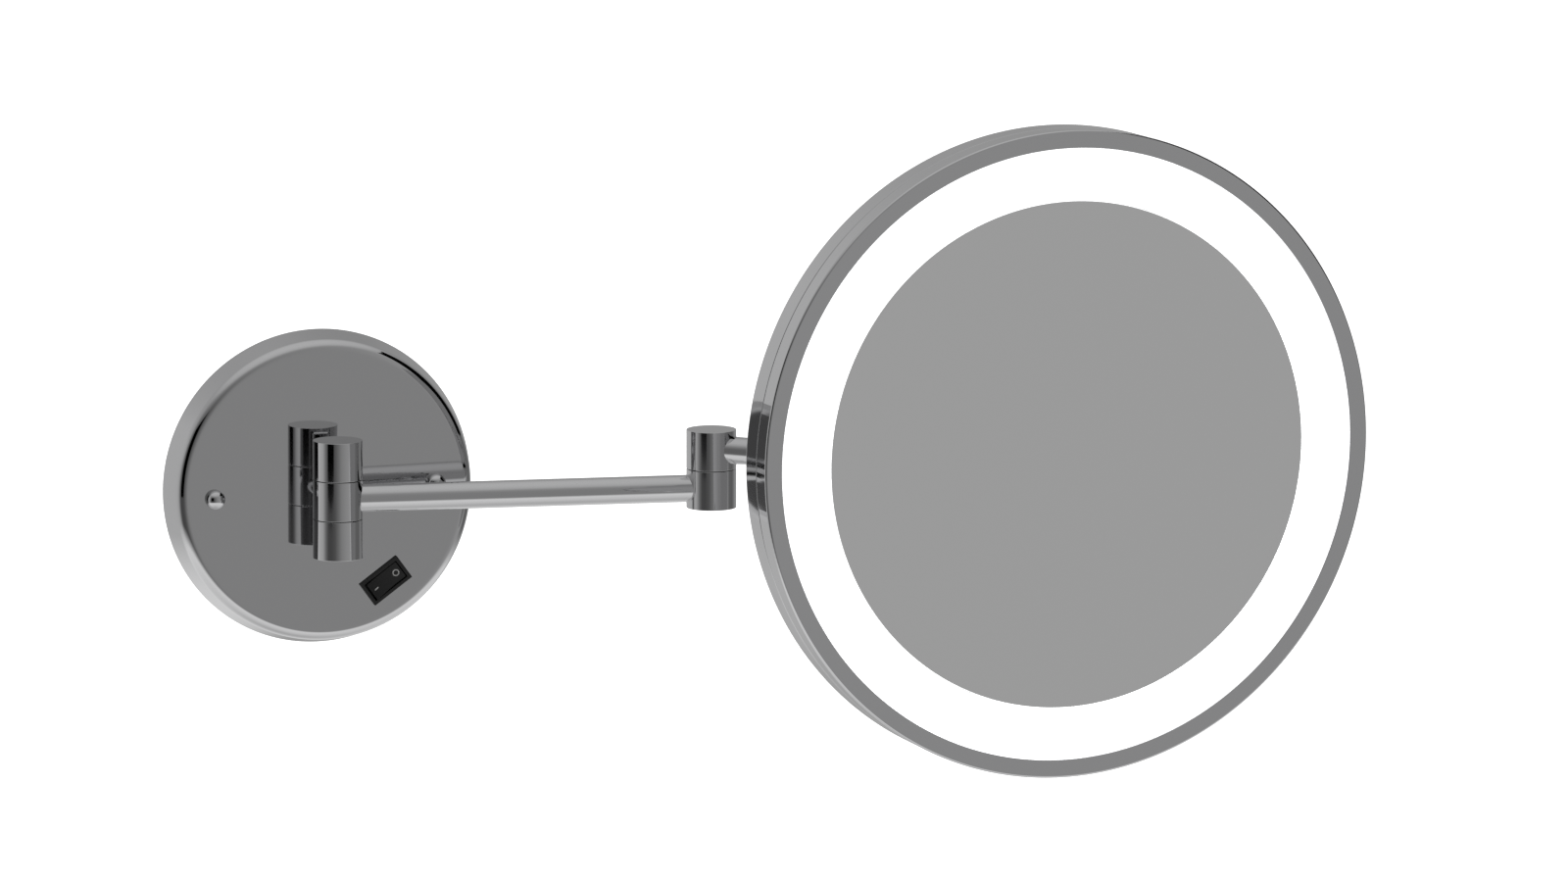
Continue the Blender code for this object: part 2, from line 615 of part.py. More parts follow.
def tilt_clevis():
    """Fork on the swivel barrel: two round ears on a base that is coped to the barrel."""
    back = -SWIVEL_TO_TILT + BARREL_RADIUS - CLEVIS_COPE_DEPTH
    front = -TONGUE_RADIUS - CLEVIS_BASE / 2
    mesh = block("tilt_clevis", (-EAR_OUTSIDE, -EAR_RADIUS, back), (EAR_OUTSIDE, EAR_RADIUS, 0))
    piece = place("tilt_clevis", mesh, chrome, tilt_frame)
    join(piece, rod("ear_ends", EAR_RADIUS, -EAR_OUTSIDE, EAR_OUTSIDE, BARREL_STEPS), across_head())
    far = 2 * EAR_RADIUS
    cut(piece, block("slot", (-EAR_INSIDE, -far, front), (EAR_INSIDE, far, far)))
    hole = TILT_BOLT_RADIUS + PIN_CLEARANCE
    cut(piece, rod("bolt_hole", hole, -2 * EAR_OUTSIDE, 2 * EAR_OUTSIDE, SMALL_STEPS), across_head())
    upright = Matrix.Translation((0, 0, -SWIVEL_TO_TILT)) @ Matrix.Rotation(-pi / 2, 4, "X")
    cope = rod("cope", BARREL_RADIUS + GAP, -BARREL_HEIGHT, BARREL_HEIGHT, BARREL_STEPS)
    cut(piece, cope, upright)


def tilt_bolt():
    """Bolt through the ears and the head's tongue, with a low round head."""
    head_low = EAR_OUTSIDE + GAP
    end = EAR_OUTSIDE + GAP + TILT_NUT_HEIGHT
    head_high = head_low + TILT_BOLT_HEAD_HEIGHT
    outline = [(0, -end), (TILT_BOLT_RADIUS, -end), (TILT_BOLT_RADIUS, head_low),
               (TILT_BOLT_HEAD_RADIUS, head_low), (TILT_BOLT_HEAD_RADIUS, (head_low + head_high) / 2),
               (TILT_BOLT_HEAD_RADIUS * TILT_BOLT_CROWN_SHARE, head_high), (0, head_high)]
    place("tilt_bolt", turned("tilt_bolt", outline, SMALL_STEPS), chrome, tilt_frame, across_head())


def tilt_nut():
    """Nut that sets how firmly the head tilts."""
    near = EAR_OUTSIDE + GAP
    hexagon_nut("tilt_nut", TILT_BOLT_RADIUS + PIN_CLEARANCE, TILT_BOLT_HEAD_RADIUS,
                -near - TILT_NUT_HEIGHT, -near, chrome, tilt_frame, across_head())


def tilt_washer(side):
    near = TONGUE_WIDTH / 2 + GAP
    low, high = sorted((side * near, side * (near + TILT_WASHER_THICKNESS)))
    name = "tilt_washer_left" if side < 0 else "tilt_washer_right"
    mesh = ring(name, TILT_BOLT_RADIUS + PIN_CLEARANCE, TONGUE_RADIUS, low, high, SMALL_STEPS)
    place(name, mesh, acetal, head, across_head())


def tilt_lug():
    """Tongue on a round flange that is screwed to the head's back."""
    face = HEAD_BACK - GAP
    low = face - FLANGE_THICKNESS
    flange = rod("tilt_lug", FLANGE_RADIUS, low, face, BARREL_STEPS)
    piece = place("tilt_lug", flange, chrome, head)
    half = TONGUE_WIDTH / 2
    root = low + FLANGE_THICKNESS / 2
    join(piece, block("tongue", (-half, -TONGUE_RADIUS, 0), (half, TONGUE_RADIUS, root)))
    join(piece, rod("tongue_end", TONGUE_RADIUS, -half, half, BARREL_STEPS), across_head())
    bolt_hole = rod("bolt_hole", TILT_BOLT_RADIUS + PIN_CLEARANCE, -2 * half, 2 * half, SMALL_STEPS)
    cut(piece, bolt_hole, across_head())
    for screw in range(FLANGE_SCREWS):
        hole = rod("screw_hole", SCREW_HOLE, 0, HEAD_BACK, SCREW_STEPS)
        cut(piece, hole, Matrix.Translation(flange_screw_place(screw)))


def flange_screw_place(number):
    return polar(FLANGE_SCREW_PITCH_RADIUS, 360 * (number + 0.5) / FLANGE_SCREWS)


def small_screw(name, at, seat, end):
    """Pan-headed screw driven forwards into the head, its head bearing on a face at height seat."""
    low = seat - GAP - SMALL_SCREW_HEAD_HEIGHT
    under = seat - GAP
    outline = [(0, low), (SMALL_SCREW_HEAD_RADIUS * SMALL_SCREW_CROWN_SHARE, low),
               (SMALL_SCREW_HEAD_RADIUS, (low + under) / 2), (SMALL_SCREW_HEAD_RADIUS, under),
               (SMALL_SCREW_RADIUS, under), (SMALL_SCREW_RADIUS, end), (0, end)]
    place(name, turned(name, outline, SCREW_STEPS), steel, head, Matrix.Translation(at))


# --- Mirror head ----------------------------------------------------------------------------------

def head_side(height):
    """Radius of the head's side at a height above its back."""
    return HEAD_RADIUS - (HEAD_DEPTH - height) * tan(radians(HEAD_DRAFT))


def shell_screw_place(number):
    radius = WINDOW_RADIUS - SMALL_SCREW_HEAD_RADIUS
    return polar(radius, 360 * (number + 0.5) / SHELL_SCREWS)


def back_shell():
    """Pressed steel pan that closes the head's back."""
    rim = HEAD_BACK + SHELL_DEPTH
    floor = HEAD_BACK + SHELL_WALL
    corner = (head_side(SHELL_SHOULDER) - SHELL_SHOULDER, HEAD_BACK + SHELL_SHOULDER)
    outline = [(0, HEAD_BACK), *arc(corner, SHELL_SHOULDER, -90, 0, 3), (head_side(SHELL_DEPTH), rim),
               (head_side(SHELL_DEPTH) - SHELL_WALL, rim), (head_side(SHELL_WALL) - SHELL_WALL, floor),
               (0, floor)]
    piece = place("back_shell", turned("back_shell", outline, HEAD_STEPS), chrome, head)
    flange_holes = [flange_screw_place(number) for number in range(FLANGE_SCREWS)]
    shell_holes = [shell_screw_place(number) for number in range(SHELL_SCREWS)]
    for at in flange_holes + shell_holes:
        hole = rod("screw_hole", SCREW_HOLE, HEAD_BACK - THROUGH, floor + THROUGH, SCREW_STEPS)
        cut(piece, hole, Matrix.Translation(at))


def bezel_ring():
    """Chromed front ring: a side wall that carries on from the shell, and a flat lip round the light."""
    low = HEAD_BACK + SHELL_DEPTH + GAP
    lip = HEAD_FRONT - BEZEL_LIP_THICKNESS
    wall_in = head_side(SHELL_DEPTH) - SHELL_WALL
    outline = [(wall_in, low), (head_side(SHELL_DEPTH + GAP), low), (HEAD_RADIUS, HEAD_FRONT - BEZEL_CHAMFER),
               (HEAD_RADIUS - BEZEL_CHAMFER, HEAD_FRONT), (WINDOW_RADIUS, HEAD_FRONT),
               (WINDOW_RADIUS, lip), (wall_in, lip)]
    place("bezel_ring", turned("bezel_ring", outline, HEAD_STEPS), chrome, head)


def bezel_gasket():
    """Rubber ring inside the seam between the shell and the bezel."""
    outside = head_side(SHELL_DEPTH - GASKET_HEIGHT / 2) - SHELL_WALL - GAP
    middle = HEAD_BACK + SHELL_DEPTH
    mesh = ring("bezel_gasket", outside - GASKET_WIDTH, outside, middle - GASKET_HEIGHT / 2,
                middle + GASKET_HEIGHT / 2, INNER_HEAD_STEPS)
    place("bezel_gasket", mesh, rubber, head)


def light_diffuser():
    """Opal acrylic ring, flush with the bezel, with a flange held under the bezel's lip."""
    face = HEAD_FRONT - GAP
    low = face - DIFFUSER_THICKNESS - GAP
    step = HEAD_FRONT - BEZEL_LIP_THICKNESS - GAP
    inside = MIRROR_RADIUS + GAP
    outside = WINDOW_RADIUS - GAP
    flange = WINDOW_RADIUS + DIFFUSER_FLANGE
    outline = [(inside, low), (flange, low), (flange, step), (outside, step), (outside, face), (inside, face)]
    place("light_diffuser", turned("light_diffuser", outline, HEAD_STEPS), opal, head)


def mirror_glass():
    """Round silvered glass, flush with the bezel, with a fine ground edge."""
    low = HEAD_FRONT - MIRROR_THICKNESS
    outline = [(0, low), (MIRROR_RADIUS, low), (MIRROR_RADIUS, HEAD_FRONT - MIRROR_EDGE),
               (MIRROR_RADIUS - MIRROR_EDGE, HEAD_FRONT), (0, HEAD_FRONT)]
    place("mirror_glass", turned("mirror_glass", outline, HEAD_STEPS), mirror, head)


def mirror_cushion():
    """Foam disc that backs the glass."""
    high = HEAD_FRONT - MIRROR_THICKNESS - GAP
    low = high - CUSHION_THICKNESS
    mesh = rod("mirror_cushion", MIRROR_RADIUS - CUSHION_INSET, low, high, INNER_HEAD_STEPS)
    place("mirror_cushion", mesh, foam, head)


def light_pan():
    """Aluminium tray: a raised middle carries the mirror, and a channel round it holds the light board."""
    plateau = HEAD_FRONT - MIRROR_THICKNESS - CUSHION_THICKNESS - 2 * GAP
    floor = HEAD_BACK + PAN_FLOOR
    shoulder = MIRROR_RADIUS - 2 * PAN_WALL
    inside = shoulder - PAN_WALL
    rim = head_side(0) - SHELL_WALL - GASKET_WIDTH - PAN_RIM_ROOM
    outline = [(0, plateau), (shoulder, plateau), (shoulder, floor + PAN_WALL), (rim, floor + PAN_WALL),
               (rim, floor), (inside, floor), (inside, plateau - PAN_WALL), (0, plateau - PAN_WALL)]
    piece = place("light_pan", turned("light_pan", outline, INNER_HEAD_STEPS), aluminium, head)
    for number in range(SHELL_SCREWS):
        hole = rod("screw_hole", SCREW_HOLE, floor - THROUGH, floor + PAN_WALL + THROUGH, SCREW_STEPS)
        cut(piece, hole, Matrix.Translation(shell_screw_place(number)))


def led_board():
    """Ring-shaped circuit board with a lamp chip standing on it at each step round."""
    low = HEAD_BACK + PAN_FLOOR + PAN_WALL + GAP
    high = low + LED_BOARD_THICKNESS
    inside = MIRROR_RADIUS + GAP
    outside = WINDOW_RADIUS - 3 * SMALL_SCREW_HEAD_RADIUS
    steps = 2 * LED_CHIPS
    outline = [(inside, low), (outside, low), (outside, high), (inside, high)]
    mesh = turned("led_board", outline, steps)
    bm = bmesh.new()
    bm.from_mesh(mesh)
    tops = [face for face in bm.faces if face.normal.z > 0.9]
    tops.sort(key=lambda face: Vector((1, 0)).angle_signed(face.calc_center_median().xy, 0))
    chips = tops[::2]
    bmesh.ops.inset_individual(bm, faces=chips, thickness=LED_CHIP_INSET)
    raised = bmesh.ops.extrude_discrete_faces(bm, faces=chips)["faces"]
    for face in raised:
        bmesh.ops.translate(bm, vec=(0, 0, LED_CHIP_HEIGHT), verts=face.verts)
    bm.to_mesh(mesh)
    bm.free()
    place("led_board", mesh, board, head)


def head_stiffener():
    """Steel disc inside the shell that the flange screws grip."""
    low = HEAD_BACK + SHELL_WALL + GAP
    high = low + STIFFENER_THICKNESS
    disc = rod("head_stiffener", STIFFENER_RADIUS, low, high, BARREL_STEPS)
    piece = place("head_stiffener", disc, steel, head)
    for screw in range(FLANGE_SCREWS):
        hole = rod("screw_hole", SCREW_HOLE, low - THROUGH, high + THROUGH, SCREW_STEPS)
        cut(piece, hole, Matrix.Translation(flange_screw_place(screw)))


# --- Assembly -------------------------------------------------------------------------------------

wall_bracket()
wall_seal()
wall_plate()
for screw_side in ("left", "right"):
    cover_screw(screw_side)
led_driver()
terminal_block()
switch_body()
switch_rocker()

hinge_yoke()
hinge_strap()
yoke_nut()
hinge_pin("wall_hinge_pin", -1, 1, wall_knuckle)
end_cap("wall_hinge_cap", -1, wall_knuckle)
hinge_washer("wall_washer_lower", -1, wall_knuckle)

socket(barrel("inner_arm_hub", 0, inner_arm, "middle"), 0, 1)
hinge_washer("wall_washer_upper", 0, inner_arm)
arm_tube("inner_arm_tube", INNER_ARM_LENGTH, 0, inner_arm)
arm_lead("inner_arm_lead", INNER_ARM_LENGTH, 0, inner_arm)

inner_arm_end = joint_empty("inner_arm_end", inner_arm, (INNER_ARM_LENGTH, 0, 0))
socket(barrel("elbow_lower_barrel", 0, inner_arm_end, "foot"), 0, -1)
hinge_pin("elbow_pin", 0, 1, inner_arm_end)
end_cap("elbow_cap", 0, inner_arm_end)
hinge_washer("elbow_washer", 0, inner_arm_end)

socket(barrel("elbow_upper_barrel", 1, outer_arm, "top"), 1, 1)
arm_tube("outer_arm_tube", OUTER_ARM_LENGTH, 1, outer_arm)
arm_lead("outer_arm_lead", OUTER_ARM_LENGTH, 1, outer_arm)

outer_arm_end = joint_empty("outer_arm_end", outer_arm, (OUTER_ARM_LENGTH, 0, 0))
socket(barrel("swivel_lower_barrel", 1, outer_arm_end, "foot"), 1, -1)
hinge_pin("swivel_pin", 1, 2, outer_arm_end)
end_cap("swivel_cap", 1, outer_arm_end)
hinge_washer("swivel_washer", 1, outer_arm_end)

barrel("swivel_upper_barrel", 2, swivel, "top")
tilt_frame = joint_empty("tilt_frame", swivel, (0, -SWIVEL_TO_TILT, 2 * PITCH))
tilt_frame.rotation_euler = (pi / 2, 0, 0)
tilt_clevis()
tilt_bolt()
tilt_nut()

tilt_lug()
for washer_side in (-1, 1):
    tilt_washer(washer_side)
for flange_screw in range(FLANGE_SCREWS):
    small_screw(f"flange_screw_{flange_screw + 1}", flange_screw_place(flange_screw),
                HEAD_BACK - GAP - FLANGE_THICKNESS, HEAD_BACK + SHELL_WALL + STIFFENER_THICKNESS)
back_shell()
head_stiffener()
light_pan()
led_board()
mirror_cushion()
mirror_glass()
light_diffuser()
bezel_gasket()
bezel_ring()
for shell_screw in range(SHELL_SCREWS):
    small_screw(f"shell_screw_{shell_screw + 1}", shell_screw_place(shell_screw), HEAD_BACK,
                HEAD_BACK + PAN_FLOOR + PAN_WALL)
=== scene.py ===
# Extendable shaving mirror: a lit round mirror on a double swing arm, screwed to a bathroom wall.
# The wall is the plane Y = 0 and the room is on its -Y side.
import json
from math import atan2, cos, pi, radians, sin, tan

import bmesh
import bpy
from mathutils import Matrix, Vector


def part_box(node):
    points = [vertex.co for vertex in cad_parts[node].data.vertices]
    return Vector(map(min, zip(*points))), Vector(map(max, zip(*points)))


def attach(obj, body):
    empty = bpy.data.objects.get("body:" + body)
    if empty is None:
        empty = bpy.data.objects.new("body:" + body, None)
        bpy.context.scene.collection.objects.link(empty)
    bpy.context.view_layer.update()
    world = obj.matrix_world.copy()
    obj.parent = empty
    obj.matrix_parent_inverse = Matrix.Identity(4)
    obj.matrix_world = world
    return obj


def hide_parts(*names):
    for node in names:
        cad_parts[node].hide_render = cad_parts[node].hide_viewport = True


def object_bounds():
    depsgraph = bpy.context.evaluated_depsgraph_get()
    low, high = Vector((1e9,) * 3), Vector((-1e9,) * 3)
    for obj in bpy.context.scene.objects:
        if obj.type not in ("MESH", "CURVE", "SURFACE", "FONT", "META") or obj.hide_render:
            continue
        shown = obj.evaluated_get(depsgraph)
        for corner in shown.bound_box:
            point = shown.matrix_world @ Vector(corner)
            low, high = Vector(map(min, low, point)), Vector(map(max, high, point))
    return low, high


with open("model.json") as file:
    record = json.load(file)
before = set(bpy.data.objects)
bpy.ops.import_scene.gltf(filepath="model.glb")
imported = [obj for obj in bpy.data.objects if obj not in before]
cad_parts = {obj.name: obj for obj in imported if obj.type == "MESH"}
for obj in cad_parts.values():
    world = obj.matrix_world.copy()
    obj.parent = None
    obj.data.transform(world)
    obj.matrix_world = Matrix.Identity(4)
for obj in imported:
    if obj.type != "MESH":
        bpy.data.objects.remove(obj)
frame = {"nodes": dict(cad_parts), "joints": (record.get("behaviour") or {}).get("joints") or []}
cad_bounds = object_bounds()
bpy.ops.object.select_all(action="DESELECT")


# --- Camera ---------------------------------------------------------------------------------------
# A long lens a little left of the plate's axis and above it, so that upright edges stay upright and
# the circles become plain ellipses.

VIEW_TURN = radians(-15.1)
VIEW_RISE = radians(9.4)
VIEW_WIDTH = 0.6024
VIEW_CENTRE = (0.1797, 0.01695)
LENS = 900
SENSOR = 36

aside = Vector((cos(VIEW_TURN), sin(VIEW_TURN), 0))
towards = Vector((sin(VIEW_TURN) * cos(VIEW_RISE), -cos(VIEW_TURN) * cos(VIEW_RISE), sin(VIEW_RISE)))
upwards = towards.cross(aside)
aim = aside * VIEW_CENTRE[0] + upwards * VIEW_CENTRE[1]
distance = VIEW_WIDTH * LENS / SENSOR
bpy.ops.object.camera_add(location=aim + towards * distance)
camera = bpy.context.object
camera.name = "camera"
camera.rotation_euler = towards.to_track_quat("Z", "Y").to_euler()
camera.data.lens = LENS
camera.data.sensor_width = SENSOR
camera.data.clip_end = 4 * distance
bpy.context.scene.camera = camera
bpy.context.scene.view_settings.view_transform = "Standard"


# --- Studio ---------------------------------------------------------------------------------------
# A white room with soft even light. Polished chrome shows what stands round it, so the room has grey
# walls that change slowly with direction, a pale ceiling and floor, and two black screens.

def paint(colour, alpha=1.0):
    """An sRGB hex colour as the linear values that Blender's sockets take."""
    parts = [int(colour[i:i + 2], 16) / 255 for i in (1, 3, 5)]
    return (*[c / 12.92 if c <= 0.04045 else ((c + 0.055) / 1.055) ** 2.4 for c in parts], alpha)


def add_node(tree, kind, links=(), values=(), **settings):
    """A shader node with its settings, the values of its sockets and the sockets that feed it."""
    node = tree.nodes.new(kind)
    for name, value in settings.items():
        setattr(node, name, value)
    for socket, value in values:
        node.inputs[socket].default_value = value
    for socket, source in links:
        tree.links.new(source, node.inputs[socket])
    return node


def fill_ramp(node, stops, interpolation="LINEAR"):
    """Gives a colour ramp its stops, each a place from 0 to 1 and a hex colour."""
    ramp = node.color_ramp
    ramp.interpolation = interpolation
    while len(ramp.elements) > 1:
        ramp.elements.remove(ramp.elements[0])
    ramp.elements[0].position = stops[0][0]
    ramp.elements[0].color = paint(stops[0][1])
    for place, colour in stops[1:]:
        ramp.elements.new(place).color = paint(colour)


# Walls of the room by compass angle from the lens, in degrees, positive to the right
WALLS = [(-180, "#A1A1A1"), (-150, "#C5C5C5"), (-96, "#C5C5C5"), (-72, "#B5B5B5"), (-56, "#797979"),
         (-44, "#535353"), (-30, "#515151"), (-12, "#5C5C5C"), (2, "#777777"), (20, "#939393"),
         (40, "#A0A0A0"), (58, "#A8A8A8"), (78, "#A6A6A6"), (90, "#717171"), (111, "#6B6B6B"),
         (140, "#A0A0A0"), (180, "#A1A1A1")]
# Floor and ceiling by the angle above the horizon
FLOOR = [(-90, "#C6C6C6"), (-80, "#CDCDCD"), (-59, "#E5E5E5"), (-39, "#F1F1F1"), (-26, "#F1F1F1")]
CEILING = [(20, "#959595"), (38, "#A8A8A8"), (56, "#C6C6C6"), (75, "#CFCFCF")]
FLOOR_EDGE = (-34, -22)
CEILING_EDGE = (15, 45)

room = bpy.data.worlds.new("studio_room")
bpy.context.scene.world = room
room.use_nodes = True
tree = room.node_tree
tree.nodes.clear()
look = add_node(tree, "ShaderNodeTexCoord")
axes = add_node(tree, "ShaderNodeSeparateXYZ", [(0, look.outputs["Generated"])])
depth = add_node(tree, "ShaderNodeMath", [(0, axes.outputs["Y"])], [(1, -1.0)], operation="MULTIPLY")
compass = add_node(tree, "ShaderNodeMath", [(0, axes.outputs["X"]), (1, depth.outputs[0])],
                   operation="ARCTAN2")
share = add_node(tree, "ShaderNodeMath", [(0, compass.outputs[0])],
                 [(1, 1 / (2 * pi)), (2, 0.5 - VIEW_TURN / (2 * pi))], operation="MULTIPLY_ADD")
turn = add_node(tree, "ShaderNodeMath", [(0, share.outputs[0])], operation="FRACT")
walls = add_node(tree, "ShaderNodeValToRGB", [(0, turn.outputs[0])])
fill_ramp(walls, [((angle + 180) / 360, colour) for angle, colour in WALLS])


def up_share(angle):
    """An angle above the horizon as a share of the way from straight down to straight up."""
    return (angle + 90) / 180


rise = add_node(tree, "ShaderNodeMath", [(0, axes.outputs["Z"])], operation="ARCSINE")
height = add_node(tree, "ShaderNodeMath", [(0, rise.outputs[0])], [(1, 1 / pi), (2, 0.5)],
                  operation="MULTIPLY_ADD")
level = add_node(tree, "ShaderNodeValToRGB", [(0, height.outputs[0])])
fill_ramp(level, [(up_share(angle), colour) for angle, colour in FLOOR + CEILING])
wall_share = add_node(tree, "ShaderNodeValToRGB", [(0, height.outputs[0])])
fill_ramp(wall_share, [(up_share(FLOOR_EDGE[0]), "#000000"), (up_share(FLOOR_EDGE[1]), "#FFFFFF"),
                       (up_share(CEILING_EDGE[0]), "#FFFFFF"), (up_share(CEILING_EDGE[1]), "#000000")])
MIX_COLOURS, MIX_RESULT = (6, 7), 2
blend = add_node(tree, "ShaderNodeMix", [(0, wall_share.outputs["Color"]),
                                         (MIX_COLOURS[0], level.outputs["Color"]),
                                         (MIX_COLOURS[1], walls.outputs["Color"])], data_type="RGBA")
seen = add_node(tree, "ShaderNodeBackground", [("Color", blend.outputs[MIX_RESULT])])
plain = add_node(tree, "ShaderNodeBackground", [], [("Color", paint("#FFFFFF"))])
ray = add_node(tree, "ShaderNodeLightPath")
both = add_node(tree, "ShaderNodeMixShader", [(0, ray.outputs["Is Camera Ray"]), (1, seen.outputs[0]),
                                              (2, plain.outputs[0])])
add_node(tree, "ShaderNodeOutputWorld", [("Surface", both.outputs[0])])

# Black screens: the first stands in front and to the left and faces the wall knuckle, with its foot
# just high enough for only the upper barrels to mirror it. The second is at the right, above the arm.
SCREENS = [("screen_left", (-1.316, -1.261, 0.2285), (0.94, 1.063), (90, 0, -47)),
           ("screen_right", (1.60, -0.35, 1.05), (1.50, 1.75), (90, 0, 90))]

matt_black = bpy.data.materials.new("matt_black_screen")
matt_black.use_nodes = True
shader = matt_black.node_tree.nodes["Principled BSDF"]
shader.inputs["Base Color"].default_value = paint("#050505")
shader.inputs["Roughness"].default_value = 1.0
shader.inputs["Specular IOR Level"].default_value = 0.0
for name, place, (width, tall), turned_by in SCREENS:
    bpy.ops.mesh.primitive_plane_add(size=1, location=place, rotation=[radians(a) for a in turned_by])
    screen = bpy.context.object
    screen.name = name
    screen.scale = (width, tall, 1)
    screen.data.materials.append(matt_black)
    screen.visible_camera = False
    screen.visible_diffuse = False
    screen.visible_shadow = False

FLOOR_DROP = 0.45
FLOOR_SIZE = 60

white_floor = bpy.data.materials.new("white_floor")
white_floor.use_nodes = True
shader = white_floor.node_tree.nodes["Principled BSDF"]
shader.inputs["Base Color"].default_value = paint("#F4F4F4")
shader.inputs["Emission Color"].default_value = paint("#FFFFFF")
shader.inputs["Emission Strength"].default_value = 1.0
bpy.ops.mesh.primitive_plane_add(size=FLOOR_SIZE, location=(0, 0, cad_bounds[0][2] - FLOOR_DROP))
floor = bpy.context.object
floor.name = "floor"
floor.data.materials.append(white_floor)
floor.visible_glossy = False
floor.visible_diffuse = False


# --- Wall bracket ---------------------------------------------------------------------------------
# A zinc-plated steel disc that is screwed to the wall. Two bosses take the cover screws, and the
# disc has a slot above and below for the wall screws and a hole for the supply cable.

MM = 0.001
OUT_OF_WALL = Matrix.Rotation(pi / 2, 4, "X")
BRACKET_RADIUS = 56.2 * MM
BRACKET_THICKNESS = 2.5 * MM
BOSS_RADIUS = 4.0 * MM
BOSS_TOP = 12.5 * MM
SCREW_LINE = 43.7 * MM
SCREW_LINE_TILT = radians(1.8)
CABLE_HOLE = (24 * MM, 30 * MM, 7 * MM)
SLOT = (10 * MM, 5 * MM, 40 * MM)
RIB = (20 * MM, 26 * MM, 0.8 * MM)
RIB_SLOPE = 1.5 * MM
BRACKET_EDGE = 0.4 * MM
BRACKET_DRILLING = (-1 * MM, 4 * MM)


def arc(centre, radius, start, end, count):
    """Points round part of a circle, between two angles in degrees."""
    angles = [radians(start + (end - start) * i / count) for i in range(count + 1)]
    return [(centre[0] + radius * cos(a), centre[1] + radius * sin(a)) for a in angles]


def lathe(outline, steps):
    """Turns an outline of (radius, height) points round the Z axis, as on a lathe.

    One that starts and ends on the axis is solid, and any other is joined up into a ring.
    """
    bpy.ops.mesh.primitive_plane_add(size=MM)
    bpy.ops.object.mode_set(mode="EDIT")
    bpy.ops.mesh.merge(type="CENTER")
    bpy.ops.transform.translate(value=(outline[0][0], 0, outline[0][1]))
    for (radius, height), (next_radius, next_height) in zip(outline, outline[1:]):
        step = (next_radius - radius, 0, next_height - height)
        bpy.ops.mesh.extrude_region_move(TRANSFORM_OT_translate={"value": step})
    if outline[0][0] > 0:
        bpy.ops.mesh.select_all(action="SELECT")
        ends = bmesh.from_edit_mesh(bpy.context.object.data)
        for vertex in ends.verts:
            vertex.select_set(len(vertex.link_edges) == 1)
        bpy.ops.mesh.edge_face_add()
    bpy.ops.mesh.select_all(action="SELECT")
    bpy.ops.mesh.spin(steps=steps, angle=2 * pi, center=(0, 0, 0), axis=(0, 0, 1))
    bpy.ops.mesh.select_all(action="SELECT")
    bpy.ops.mesh.remove_doubles(threshold=0.002 * MM)
    bpy.ops.mesh.normals_make_consistent(inside=False)
    bpy.ops.object.mode_set(mode="OBJECT")
    return bpy.context.object


def apply(piece, kind, **settings):
    """Adds a modifier to a piece and applies it."""
    bpy.context.view_layer.objects.active = piece
    modifier = piece.modifiers.new(kind.lower(), kind)
    for name, value in settings.items():
        setattr(modifier, name, value)
    bpy.ops.object.modifier_apply(modifier=modifier.name)


def cut_with(piece, tool, operation="DIFFERENCE"):
    """Cuts the tool's shape out of a piece, or welds it on, and clears the tool away."""
    bpy.ops.object.select_all(action="DESELECT")
    apply(piece, "BOOLEAN", object=tool, operation=operation, solver="EXACT")
    bpy.data.objects.remove(tool, do_unlink=True)


def drill(piece, radius, low, high, place=(0, 0), steps=48):
    """Drills a round hole along Z."""
    bpy.ops.mesh.primitive_cylinder_add(vertices=steps, radius=radius, depth=high - low,
                                        location=(place[0], place[1], (low + high) / 2))
    cut_with(piece, bpy.context.object)


def settle(piece, name, material, matrix=None, smooth=35):
    """Names a piece, lays it in its place with nothing left on its object, and smooths its round faces."""
    bpy.ops.object.select_all(action="DESELECT")
    piece.select_set(True)
    bpy.context.view_layer.objects.active = piece
    piece.name = name
    piece.data.name = name
    if matrix is not None:
        piece.matrix_world = matrix @ piece.matrix_world
    bpy.ops.object.transform_apply(location=True, rotation=True, scale=True)
    bpy.ops.object.shade_smooth_by_angle(angle=radians(smooth))
    apply(piece, "WEIGHTED_NORMAL", keep_sharp=True, weight=100)
    piece.data.materials.clear()
    piece.data.materials.append(material)
    piece.select_set(False)


def screw_place(side):
    angle = SCREW_LINE_TILT + (pi if side == "left" else 0)
    return Vector((SCREW_LINE * cos(angle), SCREW_LINE * sin(angle), 0))


# Zinc plate over cold-rolled steel: grey, a little dull, with the faint cloudiness of the bath.
zinc = bpy.data.materials.new("zinc_plated_steel")
zinc.use_nodes = True
tree = zinc.node_tree
shader = tree.nodes["Principled BSDF"]
shader.inputs["Metallic"].default_value = 1.0
where = add_node(tree, "ShaderNodeTexCoord")
cloud = add_node(tree, "ShaderNodeTexNoise", [("Vector", where.outputs["Object"])],
                 [("Scale", 160.0), ("Detail", 4.0)])
tint = add_node(tree, "ShaderNodeValToRGB", [(0, cloud.outputs["Fac"])])
fill_ramp(tint, [(0.35, "#A2A4A6"), (0.65, "#B6B8B8")])
tree.links.new(tint.outputs["Color"], shader.inputs["Base Color"])
dull = add_node(tree, "ShaderNodeMapRange", [(0, cloud.outputs["Fac"])],
                [("To Min", 0.28), ("To Max", 0.42)])
tree.links.new(dull.outputs[0], shader.inputs["Roughness"])

